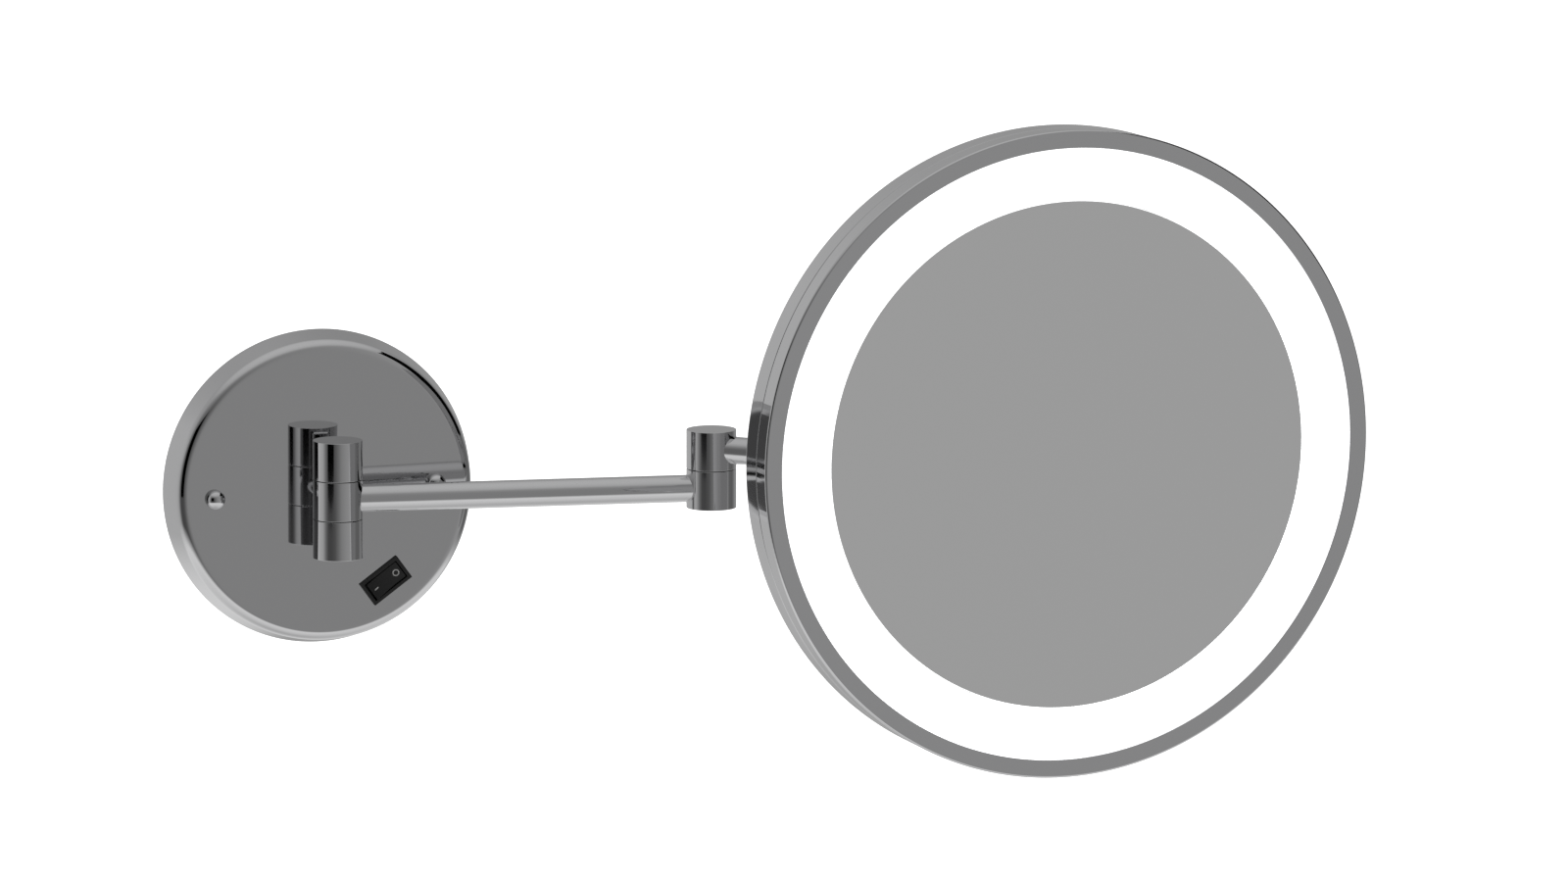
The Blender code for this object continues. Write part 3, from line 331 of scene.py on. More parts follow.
edge = BRACKET_EDGE
rib_low, rib_high, rib_rise = RIB
outline = [(0, 0), (rib_low, 0), (rib_low + RIB_SLOPE, rib_rise), (rib_high - RIB_SLOPE, rib_rise),
           (rib_high, 0),
           *arc((BRACKET_RADIUS - edge, edge), edge, -90, 0, 3),
           *arc((BRACKET_RADIUS - edge, BRACKET_THICKNESS - edge), edge, 0, 90, 3), (0, BRACKET_THICKNESS)]
bracket = lathe(outline, 128)
for side in ("left", "right"):
    boss_low = BRACKET_THICKNESS / 2
    middle = screw_place(side) + Vector((0, 0, (BOSS_TOP + boss_low) / 2))
    bpy.ops.mesh.primitive_cylinder_add(vertices=40, radius=BOSS_RADIUS, depth=BOSS_TOP - boss_low,
                                        location=middle)
    cut_with(bracket, bpy.context.object, "UNION")
drill(bracket, CABLE_HOLE[2], *BRACKET_DRILLING, CABLE_HOLE[:2], 64)
for side in (-1, 1):
    middle = (SLOT[0] - SLOT[1]) / 2
    bpy.ops.mesh.primitive_cube_add(size=1, location=(0, side * SLOT[2], BRACKET_THICKNESS / 2))
    bpy.context.object.scale = (2 * middle, SLOT[1], 2 * BRACKET_THICKNESS + MM)
    cut_with(bracket, bpy.context.object)
    for end in (-middle, middle):
        drill(bracket, SLOT[1] / 2, *BRACKET_DRILLING, (end, side * SLOT[2]), 32)
settle(bracket, "zinc_wall_bracket", zinc, OUT_OF_WALL)
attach(bracket, "wall")
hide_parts("wall_bracket")


# --- Wall seal ------------------------------------------------------------------------------------
# A moulded black rubber ring under the plate's rim, which keeps splashed water out. It is a plain
# round section that has been squeezed a little flat.

# Moulded rubber: nearly black, matt, with a faint bloom.
rubber = bpy.data.materials.new("moulded_rubber")
rubber.use_nodes = True
tree = rubber.node_tree
shader = tree.nodes["Principled BSDF"]
shader.inputs["Roughness"].default_value = 0.75
where = add_node(tree, "ShaderNodeTexCoord")
bloom = add_node(tree, "ShaderNodeTexNoise", [("Vector", where.outputs["Object"])],
                 [("Scale", 220.0), ("Detail", 3.0)])
tint = add_node(tree, "ShaderNodeValToRGB", [(0, bloom.outputs["Fac"])])
fill_ramp(tint, [(0.3, "#161616"), (0.7, "#242424")])
tree.links.new(tint.outputs["Color"], shader.inputs["Base Color"])

SEAL_OUTSIDE = 58.9 * MM
SEAL_WIDTH = 2.2 * MM
SEAL_HEIGHT = 1.9 * MM
SEAL_FILLET = 0.6 * MM
low, high = SEAL_FILLET, SEAL_HEIGHT - SEAL_FILLET
outside, inside = SEAL_OUTSIDE - SEAL_FILLET, SEAL_OUTSIDE - SEAL_WIDTH + SEAL_FILLET
seal = lathe([*arc((outside, low), SEAL_FILLET, -90, 0, 4), *arc((outside, high), SEAL_FILLET, 0, 90, 4),
              *arc((inside, high), SEAL_FILLET, 90, 180, 4), *arc((inside, low), SEAL_FILLET, 180, 270, 4)],
             128)
settle(seal, "rubber_wall_seal", rubber, OUT_OF_WALL)
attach(seal, "wall")
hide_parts("wall_seal")


# --- Wall plate -----------------------------------------------------------------------------------
# A spun brass cover with a drafted side and a rounded shoulder, polished and chrome plated, with
# holes for the two cover screws, the hinge yoke's stem and the switch.

PLATE_RADIUS = 61.0 * MM
PLATE_HEIGHT = 14.0 * MM
PLATE_DRAFT = 13.0
PLATE_SHOULDER = 4.3 * MM
PLATE_WALL = 1.2 * MM
PLATE_FOOT = 0.3 * MM
COVER_HOLE_RADIUS = 1.9 * MM
STEM_RADIUS = 4.5 * MM
STEM_ROOM = 0.15 * MM
PLATE_DRILLING = (0.8 * PLATE_HEIGHT, 1.1 * PLATE_HEIGHT)
SWITCH_PLACE = Vector(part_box("switch_body")[0]).lerp(Vector(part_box("switch_body")[1]), 0.5)
SWITCH_TURN = radians(36)
SWITCH_LONG = 18.1 * MM
SWITCH_SHORT = 10.5 * MM
SWITCH_HOLE_LESS = 1.6 * MM

# Bright chrome over polished brass: a hard cool mirror. The polish leaves a faint unevenness that
# shows only as a slightly softer reflection here and there.
chrome = bpy.data.materials.new("polished_chrome_plate")
chrome.use_nodes = True
tree = chrome.node_tree
shader = tree.nodes["Principled BSDF"]
shader.inputs["Base Color"].default_value = paint("#CFCFD0")
shader.inputs["Metallic"].default_value = 1.0
where = add_node(tree, "ShaderNodeTexCoord")
wipe = add_node(tree, "ShaderNodeTexNoise", [("Vector", where.outputs["Object"])],
                [("Scale", 45.0), ("Detail", 3.0)])
soft = add_node(tree, "ShaderNodeMapRange", [(0, wipe.outputs["Fac"])],
                [("From Min", 0.3), ("From Max", 0.7), ("To Min", 0.035), ("To Max", 0.07)])
tree.links.new(soft.outputs[0], shader.inputs["Roughness"])


def plate_outline(inset):
    """From the plate's centre out over the shoulder and down the drafted side."""
    top = PLATE_HEIGHT - inset
    radius = PLATE_SHOULDER - inset
    lean = radians(PLATE_DRAFT)
    foot = PLATE_RADIUS - inset / cos(lean)
    middle = (foot - (top - radius) * tan(lean) - radius / cos(lean), top - radius)
    shoulder = arc(middle, radius, 90, PLATE_DRAFT, 12)
    return [(0, top), (shoulder[0][0] - MM, top), *shoulder, (foot - PLATE_FOOT * tan(lean), PLATE_FOOT)]


plate = lathe(plate_outline(0) + plate_outline(PLATE_WALL)[::-1], 256)
for side in ("left", "right"):
    drill(plate, COVER_HOLE_RADIUS, *PLATE_DRILLING, screw_place(side)[:2])
drill(plate, STEM_RADIUS + STEM_ROOM, *PLATE_DRILLING, steps=64)
bpy.ops.mesh.primitive_cube_add(size=1, location=(SWITCH_PLACE.x, SWITCH_PLACE.z, PLATE_HEIGHT),
                                rotation=(0, 0, SWITCH_TURN))
bpy.context.object.scale = (SWITCH_LONG - SWITCH_HOLE_LESS, SWITCH_SHORT - SWITCH_HOLE_LESS, 5 * MM)
cut_with(plate, bpy.context.object)
settle(plate, "chrome_wall_plate", chrome, OUT_OF_WALL)
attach(plate, "wall")
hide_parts("wall_plate")


# --- Cover screws ---------------------------------------------------------------------------------
# Two screws through the plate into the bracket's bosses, turned from brass and chromed, each with a
# dome on a short straight collar.

DOME_RADIUS = 3.7 * MM
COLLAR = 1.2 * MM
DOME_RISE = 3.3 * MM
SHANK_RADIUS = 1.6 * MM
SHANK_END = 6.0 * MM
SEATING_GAP = 0.05 * MM

for side in ("left", "right"):
    low = PLATE_HEIGHT + SEATING_GAP
    rim = low + COLLAR
    dome = [(DOME_RADIUS * cos(radians(a)), rim + DOME_RISE * sin(radians(a))) for a in range(0, 90, 9)]
    screw = lathe([(0, SHANK_END), (SHANK_RADIUS, SHANK_END), (SHANK_RADIUS, low), (DOME_RADIUS, low),
                   *dome, (0, rim + DOME_RISE)], 64)
    settle(screw, f"domed_cover_screw_{side}", chrome, OUT_OF_WALL @ Matrix.Translation(screw_place(side)))
    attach(screw, "wall")
    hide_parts(f"cover_screw_{side}")


# --- Switch ---------------------------------------------------------------------------------------
# A snap-in rocker switch moulded in black nylon. Its frame rests on the plate and its rocker stands
# with one end pressed, a ring printed on the off end and a bar on the other.

FRAME_RISE = 1.0 * MM
FRAME_LIP = 1.35 * MM
SWITCH_LOW = PLATE_HEIGHT + 0.1 * MM
SWITCH_TAIL = 6.5 * MM
BAY_DEPTH = 4.2 * MM
ROCKER_LONG = 14.6 * MM
ROCKER_SHORT = 7.2 * MM
ROCKER_RISE = 1.3 * MM
ROCKER_DIP = 0.5 * MM
ROCKER_TILT = radians(6)
ROCKER_KEEL = 2.0 * MM
ROCKER_FOOT_SHARE = 0.82
SWITCH_CENTRE = Matrix.Translation((SWITCH_PLACE.x, SWITCH_PLACE.z, 0))
AT_SWITCH = OUT_OF_WALL @ SWITCH_CENTRE @ Matrix.Rotation(SWITCH_TURN, 4, "Z")

# Black nylon, moulded in a spark-eroded tool: a satin black with a very fine grain.
nylon = bpy.data.materials.new("black_nylon")
nylon.use_nodes = True
tree = nylon.node_tree
shader = tree.nodes["Principled BSDF"]
shader.inputs["IOR"].default_value = 1.53
where = add_node(tree, "ShaderNodeTexCoord")
grain = add_node(tree, "ShaderNodeTexNoise", [("Vector", where.outputs["Object"])],
                 [("Scale", 4000.0), ("Detail", 2.0)])
tint = add_node(tree, "ShaderNodeValToRGB", [(0, grain.outputs["Fac"])])
fill_ramp(tint, [(0.3, "#101010"), (0.7, "#181818")])
tree.links.new(tint.outputs["Color"], shader.inputs["Base Color"])
satin = add_node(tree, "ShaderNodeMapRange", [(0, grain.outputs["Fac"])],
                 [("To Min", 0.40), ("To Max", 0.55)])
tree.links.new(satin.outputs[0], shader.inputs["Roughness"])
relief = add_node(tree, "ShaderNodeBump", [("Height", grain.outputs["Fac"])],
                  [("Strength", 0.15), ("Distance", 0.02 * MM)])
tree.links.new(relief.outputs[0], shader.inputs["Normal"])

bpy.ops.mesh.primitive_cube_add(size=1, location=(0, 0, SWITCH_LOW + FRAME_RISE / 2))
switch_frame = bpy.context.object
switch_frame.scale = (SWITCH_LONG, SWITCH_SHORT, FRAME_RISE)
bpy.ops.object.transform_apply(location=True, rotation=True, scale=True)
apply(switch_frame, "BEVEL", width=0.2 * MM, segments=3, limit_method="ANGLE", angle_limit=radians(40))
bpy.ops.mesh.primitive_cube_add(size=1, location=(0, 0, SWITCH_LOW - SWITCH_TAIL / 2 + 0.3 * MM))
bpy.context.object.scale = (SWITCH_LONG - 2 * MM, SWITCH_SHORT - 2 * MM, SWITCH_TAIL)
cut_with(switch_frame, bpy.context.object, "UNION")
bpy.ops.mesh.primitive_cube_add(size=1, location=(0, 0, SWITCH_LOW - BAY_DEPTH / 2 + FRAME_RISE))
bpy.context.object.scale = (SWITCH_LONG - 2 * FRAME_LIP, SWITCH_SHORT - 2 * FRAME_LIP,
                            BAY_DEPTH + FRAME_RISE)
cut_with(switch_frame, bpy.context.object)
apply(switch_frame, "BEVEL", width=0.12 * MM, segments=2, limit_method="ANGLE", angle_limit=radians(60))
settle(switch_frame, "switch_frame", nylon, AT_SWITCH)
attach(switch_frame, "wall")
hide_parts("switch_body")

ROCKER_PIVOT = Matrix.Translation((0, 0, PLATE_HEIGHT + 0.3 * MM))
AT_ROCKER = AT_SWITCH @ ROCKER_PIVOT @ Matrix.Rotation(ROCKER_TILT, 4, "Y")
bpy.ops.mesh.primitive_grid_add(x_subdivisions=24, y_subdivisions=2, size=1)
rocker = bpy.context.object
rocker.scale = (ROCKER_LONG, ROCKER_SHORT, 1)
bpy.ops.object.transform_apply(location=True, rotation=True, scale=True)
reach = ROCKER_LONG / 2
for vertex in rocker.data.vertices:
    vertex.co.z = ROCKER_DIP + (ROCKER_RISE - ROCKER_DIP) * (vertex.co.x / reach) ** 2
bpy.ops.object.mode_set(mode="EDIT")
bpy.ops.mesh.select_all(action="SELECT")
bpy.ops.mesh.extrude_region_move(TRANSFORM_OT_translate={"value": (0, 0, -ROCKER_KEEL)})
bpy.ops.transform.resize(value=(ROCKER_FOOT_SHARE, 1, 1), center_override=(0, 0, 0))
bpy.ops.mesh.select_all(action="SELECT")
bpy.ops.mesh.normals_make_consistent(inside=False)
bpy.ops.object.mode_set(mode="OBJECT")
apply(rocker, "BEVEL", width=0.22 * MM, segments=3, limit_method="ANGLE", angle_limit=radians(50))
settle(rocker, "switch_rocker_cap", nylon, AT_ROCKER)
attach(rocker, "rocker")
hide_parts("switch_rocker")

# Pad-printed marks in white ink, a film on the rocker's ends that is worn slightly thin.
ink = bpy.data.materials.new("white_marking_ink")
ink.use_nodes = True
tree = ink.node_tree
shader = tree.nodes["Principled BSDF"]
shader.inputs["Roughness"].default_value = 0.5
where = add_node(tree, "ShaderNodeTexCoord")
thin = add_node(tree, "ShaderNodeTexNoise", [("Vector", where.outputs["Object"])], [("Scale", 2500.0)])
tint = add_node(tree, "ShaderNodeValToRGB", [(0, thin.outputs["Fac"])])
fill_ramp(tint, [(0.3, "#B4B4B2"), (0.6, "#D8D8D6")])
tree.links.new(tint.outputs["Color"], shader.inputs["Base Color"])

MARK_REACH = 4.9 * MM
RING_RADIUS = 1.35 * MM
RING_LINE = 0.42 * MM
BAR = (1.9 * MM, 0.5 * MM)
INK_FILM = 0.04 * MM


def mark_matrix(x):
    """Lies on the rocker's hollow face at a distance from its middle, tilted with the face."""
    height = ROCKER_DIP + (ROCKER_RISE - ROCKER_DIP) * (x / reach) ** 2
    slope = 2 * (ROCKER_RISE - ROCKER_DIP) * x / reach ** 2
    return AT_ROCKER @ Matrix.Translation((x, 0, height)) @ Matrix.Rotation(-atan2(slope, 1), 4, "Y")


off_mark = lathe([(RING_RADIUS - RING_LINE, -INK_FILM), (RING_RADIUS, -INK_FILM), (RING_RADIUS, INK_FILM),
                  (RING_RADIUS - RING_LINE, INK_FILM)], 48)
settle(off_mark, "off_mark", ink, mark_matrix(MARK_REACH))
bpy.ops.mesh.primitive_cube_add(size=1)
on_mark = bpy.context.object
on_mark.scale = (*BAR, 2 * INK_FILM)
settle(on_mark, "on_mark", ink, mark_matrix(-MARK_REACH))
for mark in (off_mark, on_mark):
    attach(mark, "rocker")


# --- Power supply and fixings inside the plate ------------------------------------------------------
# A potted driver, a mains connector, and the steel strap and brass nut that hold the hinge yoke.
# They are closed in by the plate, so they keep their plain shapes and get their real finishes.

def refinish(material, *names):
    """Gives pieces that keep their first shape their own finish."""
    for name in names:
        kept = frame["nodes"][name]
        kept.data.materials.clear()
        kept.data.materials.append(material)


# Urea connector moulding: creamy white, slightly glossy.
urea = bpy.data.materials.new("white_urea_moulding")
urea.use_nodes = True
tree = urea.node_tree
shader = tree.nodes["Principled BSDF"]
shader.inputs["Roughness"].default_value = 0.4
where = add_node(tree, "ShaderNodeTexCoord")
haze = add_node(tree, "ShaderNodeTexNoise", [("Vector", where.outputs["Object"])], [("Scale", 300.0)])
tint = add_node(tree, "ShaderNodeValToRGB", [(0, haze.outputs["Fac"])])
fill_ramp(tint, [(0.3, "#DEDCD4"), (0.7, "#E8E6DF")])
tree.links.new(tint.outputs["Color"], shader.inputs["Base Color"])

# Turned brass: warm yellow, with fine tool marks that scatter its shine.
brass = bpy.data.materials.new("turned_brass")
brass.use_nodes = True
tree = brass.node_tree
shader = tree.nodes["Principled BSDF"]
shader.inputs["Metallic"].default_value = 1.0
shader.inputs["Base Color"].default_value = paint("#C9A24E")
where = add_node(tree, "ShaderNodeTexCoord")
lines = add_node(tree, "ShaderNodeTexNoise", [("Vector", where.outputs["Object"])], [("Scale", 900.0)])
dull = add_node(tree, "ShaderNodeMapRange", [(0, lines.outputs["Fac"])],
                [("To Min", 0.22), ("To Max", 0.40)])
tree.links.new(dull.outputs[0], shader.inputs["Roughness"])

refinish(nylon, "led_driver")
refinish(urea, "terminal_block")
refinish(zinc, "hinge_strap")
refinish(brass, "yoke_nut")


# --- Knuckles -------------------------------------------------------------------------------------
# Each hinge is a stack of turned brass barrels on one upright pin, chromed, with a hairline gap
# between barrels. The foot of each stack is closed by a chromed cap pressed in under the pin.

BARREL_RADIUS = 9.6 * MM
BARREL_EDGE = 0.15 * MM
CAP_RADIUS = 5.4 * MM
CAP_SEAT = 5.6 * MM
CAP_HEIGHT = 1.2 * MM
CAP_EDGE = 0.2 * MM
BARREL_STEPS = 128

joints = {joint["name"]: joint for joint in frame["joints"]}
wall_axis = Vector(joints["wall_swivel"]["pos_m"])
elbow_axis = Vector(joints["elbow"]["pos_m"])
swivel_axis = Vector(joints["head_swivel"]["pos_m"])
barrel_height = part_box("inner_arm_hub")[1][2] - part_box("inner_arm_hub")[0][2]


def turn_barrel(low, capped=False):
    """One barrel that stands on a height, with a seat for the cap where it is the foot of its stack."""
    high = low + barrel_height
    foot = [(0, low)]
    if capped:
        foot = [(0, low + CAP_HEIGHT), (CAP_SEAT, low + CAP_HEIGHT), (CAP_SEAT, low + BARREL_EDGE),
                (CAP_SEAT + BARREL_EDGE, low)]
    edge = BARREL_RADIUS - BARREL_EDGE
    return lathe([*foot, *arc((edge, low + BARREL_EDGE), BARREL_EDGE, -90, 0, 3),
                  *arc((edge, high - BARREL_EDGE), BARREL_EDGE, 0, 90, 3), (0, high)], BARREL_STEPS)


def finish_chrome(piece, name, matrix, body, node):
    """Chromes a piece, fixes it to a body, and puts it in place of its plain node."""
    settle(piece, name, chrome, matrix)
    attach(piece, body)
    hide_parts(node)


BARRELS = [("inner_arm_hub", "inner_arm", wall_axis, None),
           ("elbow_upper_barrel", "outer_arm", elbow_axis, None),
           ("elbow_lower_barrel", "inner_arm", elbow_axis, "elbow_cap"),
           ("swivel_upper_barrel", "head_swivel", swivel_axis, None),
           ("swivel_lower_barrel", "outer_arm", swivel_axis, "swivel_cap")]
CAPS = [("wall_hinge_cap", "wall", wall_axis)]
for node, body, axis, cap in BARRELS:
    barrel = turn_barrel(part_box(node)[0][2], cap is not None)
    finish_chrome(barrel, f"chrome_{node}", Matrix.Translation((axis.x, axis.y, 0)), body, node)
    if cap:
        CAPS.append((cap, body, axis))
for node, body, axis in CAPS:
    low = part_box(node)[0][2]
    cap = lathe([(0, low), *arc((CAP_RADIUS - CAP_EDGE, low + CAP_EDGE), CAP_EDGE, -90, 0, 3),
                 (CAP_RADIUS, low + CAP_HEIGHT), (0, low + CAP_HEIGHT)], 64)
    finish_chrome(cap, f"chrome_{node}", Matrix.Translation((axis.x, axis.y, 0)), body, node)

# The wall knuckle's fixed barrels are one casting with the web behind the arm's barrel and the stem
# that goes through the plate.
WEB_HALF = 3.2 * MM
WEB_OUTSIDE = 13.2 * MM
WEB_START = 8.2 * MM
WEB_INSET = 1.0 * MM
TURNING_ROOM = 0.3 * MM

foot, head_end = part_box("hinge_yoke")[0][2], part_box("hinge_yoke")[1][2]
stem_end = -wall_axis.y - PLATE_HEIGHT + PLATE_WALL
bpy.ops.mesh.primitive_cube_add(size=1, location=(0, (WEB_START + WEB_OUTSIDE) / 2, 0))
yoke = bpy.context.object
yoke.scale = (2 * WEB_HALF, WEB_OUTSIDE - WEB_START, head_end - foot - 2 * WEB_INSET)
bpy.ops.object.transform_apply(location=True, rotation=True, scale=True)
apply(yoke, "BEVEL", width=0.8 * MM, segments=4, limit_method="ANGLE", angle_limit=radians(50))
bpy.ops.mesh.primitive_cylinder_add(vertices=64, radius=STEM_RADIUS, depth=stem_end - WEB_START,
                                    location=(0, (WEB_START + stem_end) / 2, 0), rotation=(pi / 2, 0, 0))
cut_with(yoke, bpy.context.object, "UNION")
room_half = barrel_height / 2 + TURNING_ROOM + BARREL_EDGE / 2
drill(yoke, BARREL_RADIUS + TURNING_ROOM, -room_half, room_half, steps=BARREL_STEPS)
cut_with(yoke, turn_barrel(head_end - barrel_height), "UNION")
cut_with(yoke, turn_barrel(foot, True), "UNION")
finish_chrome(yoke, "chrome_hinge_yoke", Matrix.Translation((wall_axis.x, wall_axis.y, 0)), "wall",
              "hinge_yoke")

# Acetal washers between the barrels: black, waxy, hidden but for their edge.
acetal = bpy.data.materials.new("black_acetal")
acetal.use_nodes = True
tree = acetal.node_tree
shader = tree.nodes["Principled BSDF"]
shader.inputs["Roughness"].default_value = 0.45
where = add_node(tree, "ShaderNodeTexCoord")
haze = add_node(tree, "ShaderNodeTexNoise", [("Vector", where.outputs["Object"])], [("Scale", 500.0)])
tint = add_node(tree, "ShaderNodeValToRGB", [(0, haze.outputs["Fac"])])
fill_ramp(tint, [(0.3, "#161616"), (0.7, "#202020")])
tree.links.new(tint.outputs["Color"], shader.inputs["Base Color"])
refinish(acetal, "wall_washer_lower", "wall_washer_upper", "elbow_washer", "swivel_washer",
         "tilt_washer_left", "tilt_washer_right")
refinish(zinc, "wall_hinge_pin", "elbow_pin", "swivel_pin")


# --- Arms -----------------------------------------------------------------------------------------
# Two straight lengths of brass tube, drawn, polished and chromed, brazed into the barrels at both
# ends. The lead for the light runs inside them.

TUBE_RADIUS = 5.25 * MM
TUBE_WALL = 1.2 * MM
TUBE_SEAT = 6.3 * MM

for name, node, body, start, end in (("inner_arm", "inner_arm_tube", "inner_arm", wall_axis, elbow_axis),
                                     ("outer_arm", "outer_arm_tube", "outer_arm", elbow_axis, swivel_axis)):
    middle_height = (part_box(node)[0][2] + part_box(node)[1][2]) / 2
    run = Vector((end.x - start.x, end.y - start.y, 0))
    length = run.length - TUBE_SEAT
    inside = TUBE_RADIUS - TUBE_WALL
    tube = lathe([(inside, TUBE_SEAT), (TUBE_RADIUS, TUBE_SEAT), (TUBE_RADIUS, run.length / 2),
                  (TUBE_RADIUS, length), (inside, length)], 96)
    lie_along = run.to_track_quat("Z", "Y").to_matrix().to_4x4()
    along = Matrix.Translation((start.x, start.y, middle_height)) @ lie_along
    settle(tube, f"chrome_{name}_tube", chrome, along)
    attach(tube, body)
    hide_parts(node)
refinish(nylon, "inner_arm_lead", "outer_arm_lead")


# --- Tilt joint -----------------------------------------------------------------------------------
# A cast and chromed fork on the last knuckle, and a tongue on a round flange that is screwed to the
# back of the head. A bolt and nut clamp them just tightly enough for the head to stay where it is put.

tilt_axis = Vector(joints["head_tilt"]["pos_m"])
across = Vector(joints["head_tilt"]["axis"])
HEAD_HEADING = Matrix.Rotation(atan2(across.y, across.x), 4, "Z")
HEAD_FRAME = Matrix.Translation(tilt_axis) @ HEAD_HEADING @ OUT_OF_WALL
ALONG_TILT = HEAD_FRAME @ Matrix.Rotation(pi / 2, 4, "Y")
SWIVEL_TO_TILT = (tilt_axis - swivel_axis).to_2d().length
TONGUE_HALF = 2.9 * MM
TONGUE_RADIUS = 6.0 * MM
EAR_RADIUS = 6.6 * MM
EAR_INSIDE = 4.1 * MM
EAR_OUTSIDE = 7.5 * MM
SLOT_BACK = -7.2 * MM
FLANGE_RADIUS = 14.0 * MM
FLANGE = (9.0 * MM, 11.7 * MM)
BOLT_RADIUS = 2.5 * MM
BOLT_HEAD = (4.4 * MM, 2.2 * MM)
FLANGE_EDGE = 0.6 * MM
FLANGE_SCREWS = 4
FLANGE_SCREW_LINE = 10.0 * MM
BOLT_END_EDGE = 0.3 * MM
KEY_RECESS_RADIUS = 1.75 * MM
NUT_HEIGHT = 3 * MM
NUT_MIDDLE = EAR_OUTSIDE + 1.6 * MM


def add_box(low, high):
    """A cube stretched between two corners."""
    low, high = Vector(low), Vector(high)
    bpy.ops.mesh.primitive_cube_add(size=1, location=(low + high) / 2)
    bpy.context.object.scale = high - low
    bpy.ops.object.transform_apply(location=True, rotation=True, scale=True)
    return bpy.context.object


def add_bar(radius, half, steps=64):
    """A round bar along the tilt axis, centred on it."""
    bpy.ops.mesh.primitive_cylinder_add(vertices=steps, radius=radius, depth=2 * half,
                                        rotation=(0, pi / 2, 0))
    bpy.ops.object.transform_apply(location=True, rotation=True, scale=True)
    return bpy.context.object


clevis_root = -SWIVEL_TO_TILT + BARREL_RADIUS / 2
clevis = add_box((-EAR_OUTSIDE, -EAR_RADIUS, clevis_root), (EAR_OUTSIDE, EAR_RADIUS, 0))
cut_with(clevis, add_bar(EAR_RADIUS, EAR_OUTSIDE), "UNION")
far = 2 * EAR_RADIUS
cut_with(clevis, add_box((-EAR_INSIDE, -far, SLOT_BACK), (EAR_INSIDE, far, far)))
apply(clevis, "BEVEL", width=0.5 * MM, segments=3, limit_method="ANGLE", angle_limit=radians(50))
settle(clevis, "chrome_tilt_clevis", chrome, HEAD_FRAME)
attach(clevis, "head_swivel")
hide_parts("tilt_clevis")

bolt_low = EAR_OUTSIDE + SEATING_GAP
bolt_end = EAR_OUTSIDE + 3.2 * MM
head_radius, head_height = BOLT_HEAD
bolt = lathe([(0, -bolt_end), (BOLT_RADIUS - BOLT_END_EDGE, -bolt_end),
              (BOLT_RADIUS, -bolt_end + BOLT_END_EDGE), (BOLT_RADIUS, bolt_low),
              (head_radius, bolt_low), *arc((head_radius - MM, bolt_low + head_height - MM), MM, 0, 90, 6),
              (0, bolt_low + head_height)], 64)
bpy.ops.mesh.primitive_cylinder_add(vertices=6, radius=KEY_RECESS_RADIUS, depth=3 * MM,
                                    location=(0, 0, bolt_low + head_height))
cut_with(bolt, bpy.context.object)
settle(bolt, "chrome_tilt_bolt", chrome, ALONG_TILT)
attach(bolt, "head_swivel")
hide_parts("tilt_bolt")

bpy.ops.mesh.primitive_cylinder_add(vertices=6, radius=head_radius, depth=NUT_HEIGHT,
                                    location=(0, 0, -NUT_MIDDLE))
nut = bpy.context.object
bpy.ops.object.transform_apply(location=True, rotation=True, scale=True)
drill(nut, BOLT_RADIUS + 0.1 * MM, -2 * EAR_OUTSIDE, 0)
apply(nut, "BEVEL", width=0.3 * MM, segments=2, limit_method="ANGLE", angle_limit=radians(50))
settle(nut, "chrome_tilt_nut", chrome, ALONG_TILT)
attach(nut, "head_swivel")
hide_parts("tilt_nut")

flange_low, flange_high = FLANGE
lug = lathe([(0, flange_low), *arc((FLANGE_RADIUS - FLANGE_EDGE, flange_low + FLANGE_EDGE), FLANGE_EDGE,
                                   -90, 0, 5), (FLANGE_RADIUS, flange_high), (0, flange_high)], 96)
tongue = add_box((-TONGUE_HALF, -TONGUE_RADIUS, 0), (TONGUE_HALF, TONGUE_RADIUS, flange_low + MM))
cut_with(lug, tongue, "UNION")
cut_with(lug, add_bar(TONGUE_RADIUS, TONGUE_HALF), "UNION")
apply(lug, "BEVEL", width=0.3 * MM, segments=2, limit_method="ANGLE", angle_limit=radians(60))
settle(lug, "chrome_tilt_lug", chrome, HEAD_FRAME)
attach(lug, "head")
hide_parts("tilt_lug")


# --- Back shell -----------------------------------------------------------------------------------
# A pressed and chromed steel pan that closes the back of the head, with a shallow ring pressed into
# it to stiffen it. Pan-headed screws round it hold the light tray, and four more hold the flange.

HEAD_BACK = 12.0 * MM
HEAD_RADIUS = 125.0 * MM
HEAD_DEPTH = 22.0 * MM
HEAD_DRAFT = radians(2)
SHELL_DEPTH = 12.2 * MM
SHELL_WALL = 1.8 * MM
SHELL_EDGE = 2.0 * MM
SHELL_RING = (70 * MM, 78 * MM, 0.9 * MM)
SHELL_RING_SLOPE = 2 * MM
SHELL_LIP = 0.25 * MM
SHELL_SCREWS = 6
SHELL_SCREW_LINE = 115.5 * MM
HEAD_STEPS = 384
SEAM = 0.3 * MM


def head_side(height):
    """Radius of the head's side at a height above its back, which grows a little towards the front."""
    return HEAD_RADIUS - (HEAD_DEPTH - height) * tan(HEAD_DRAFT)


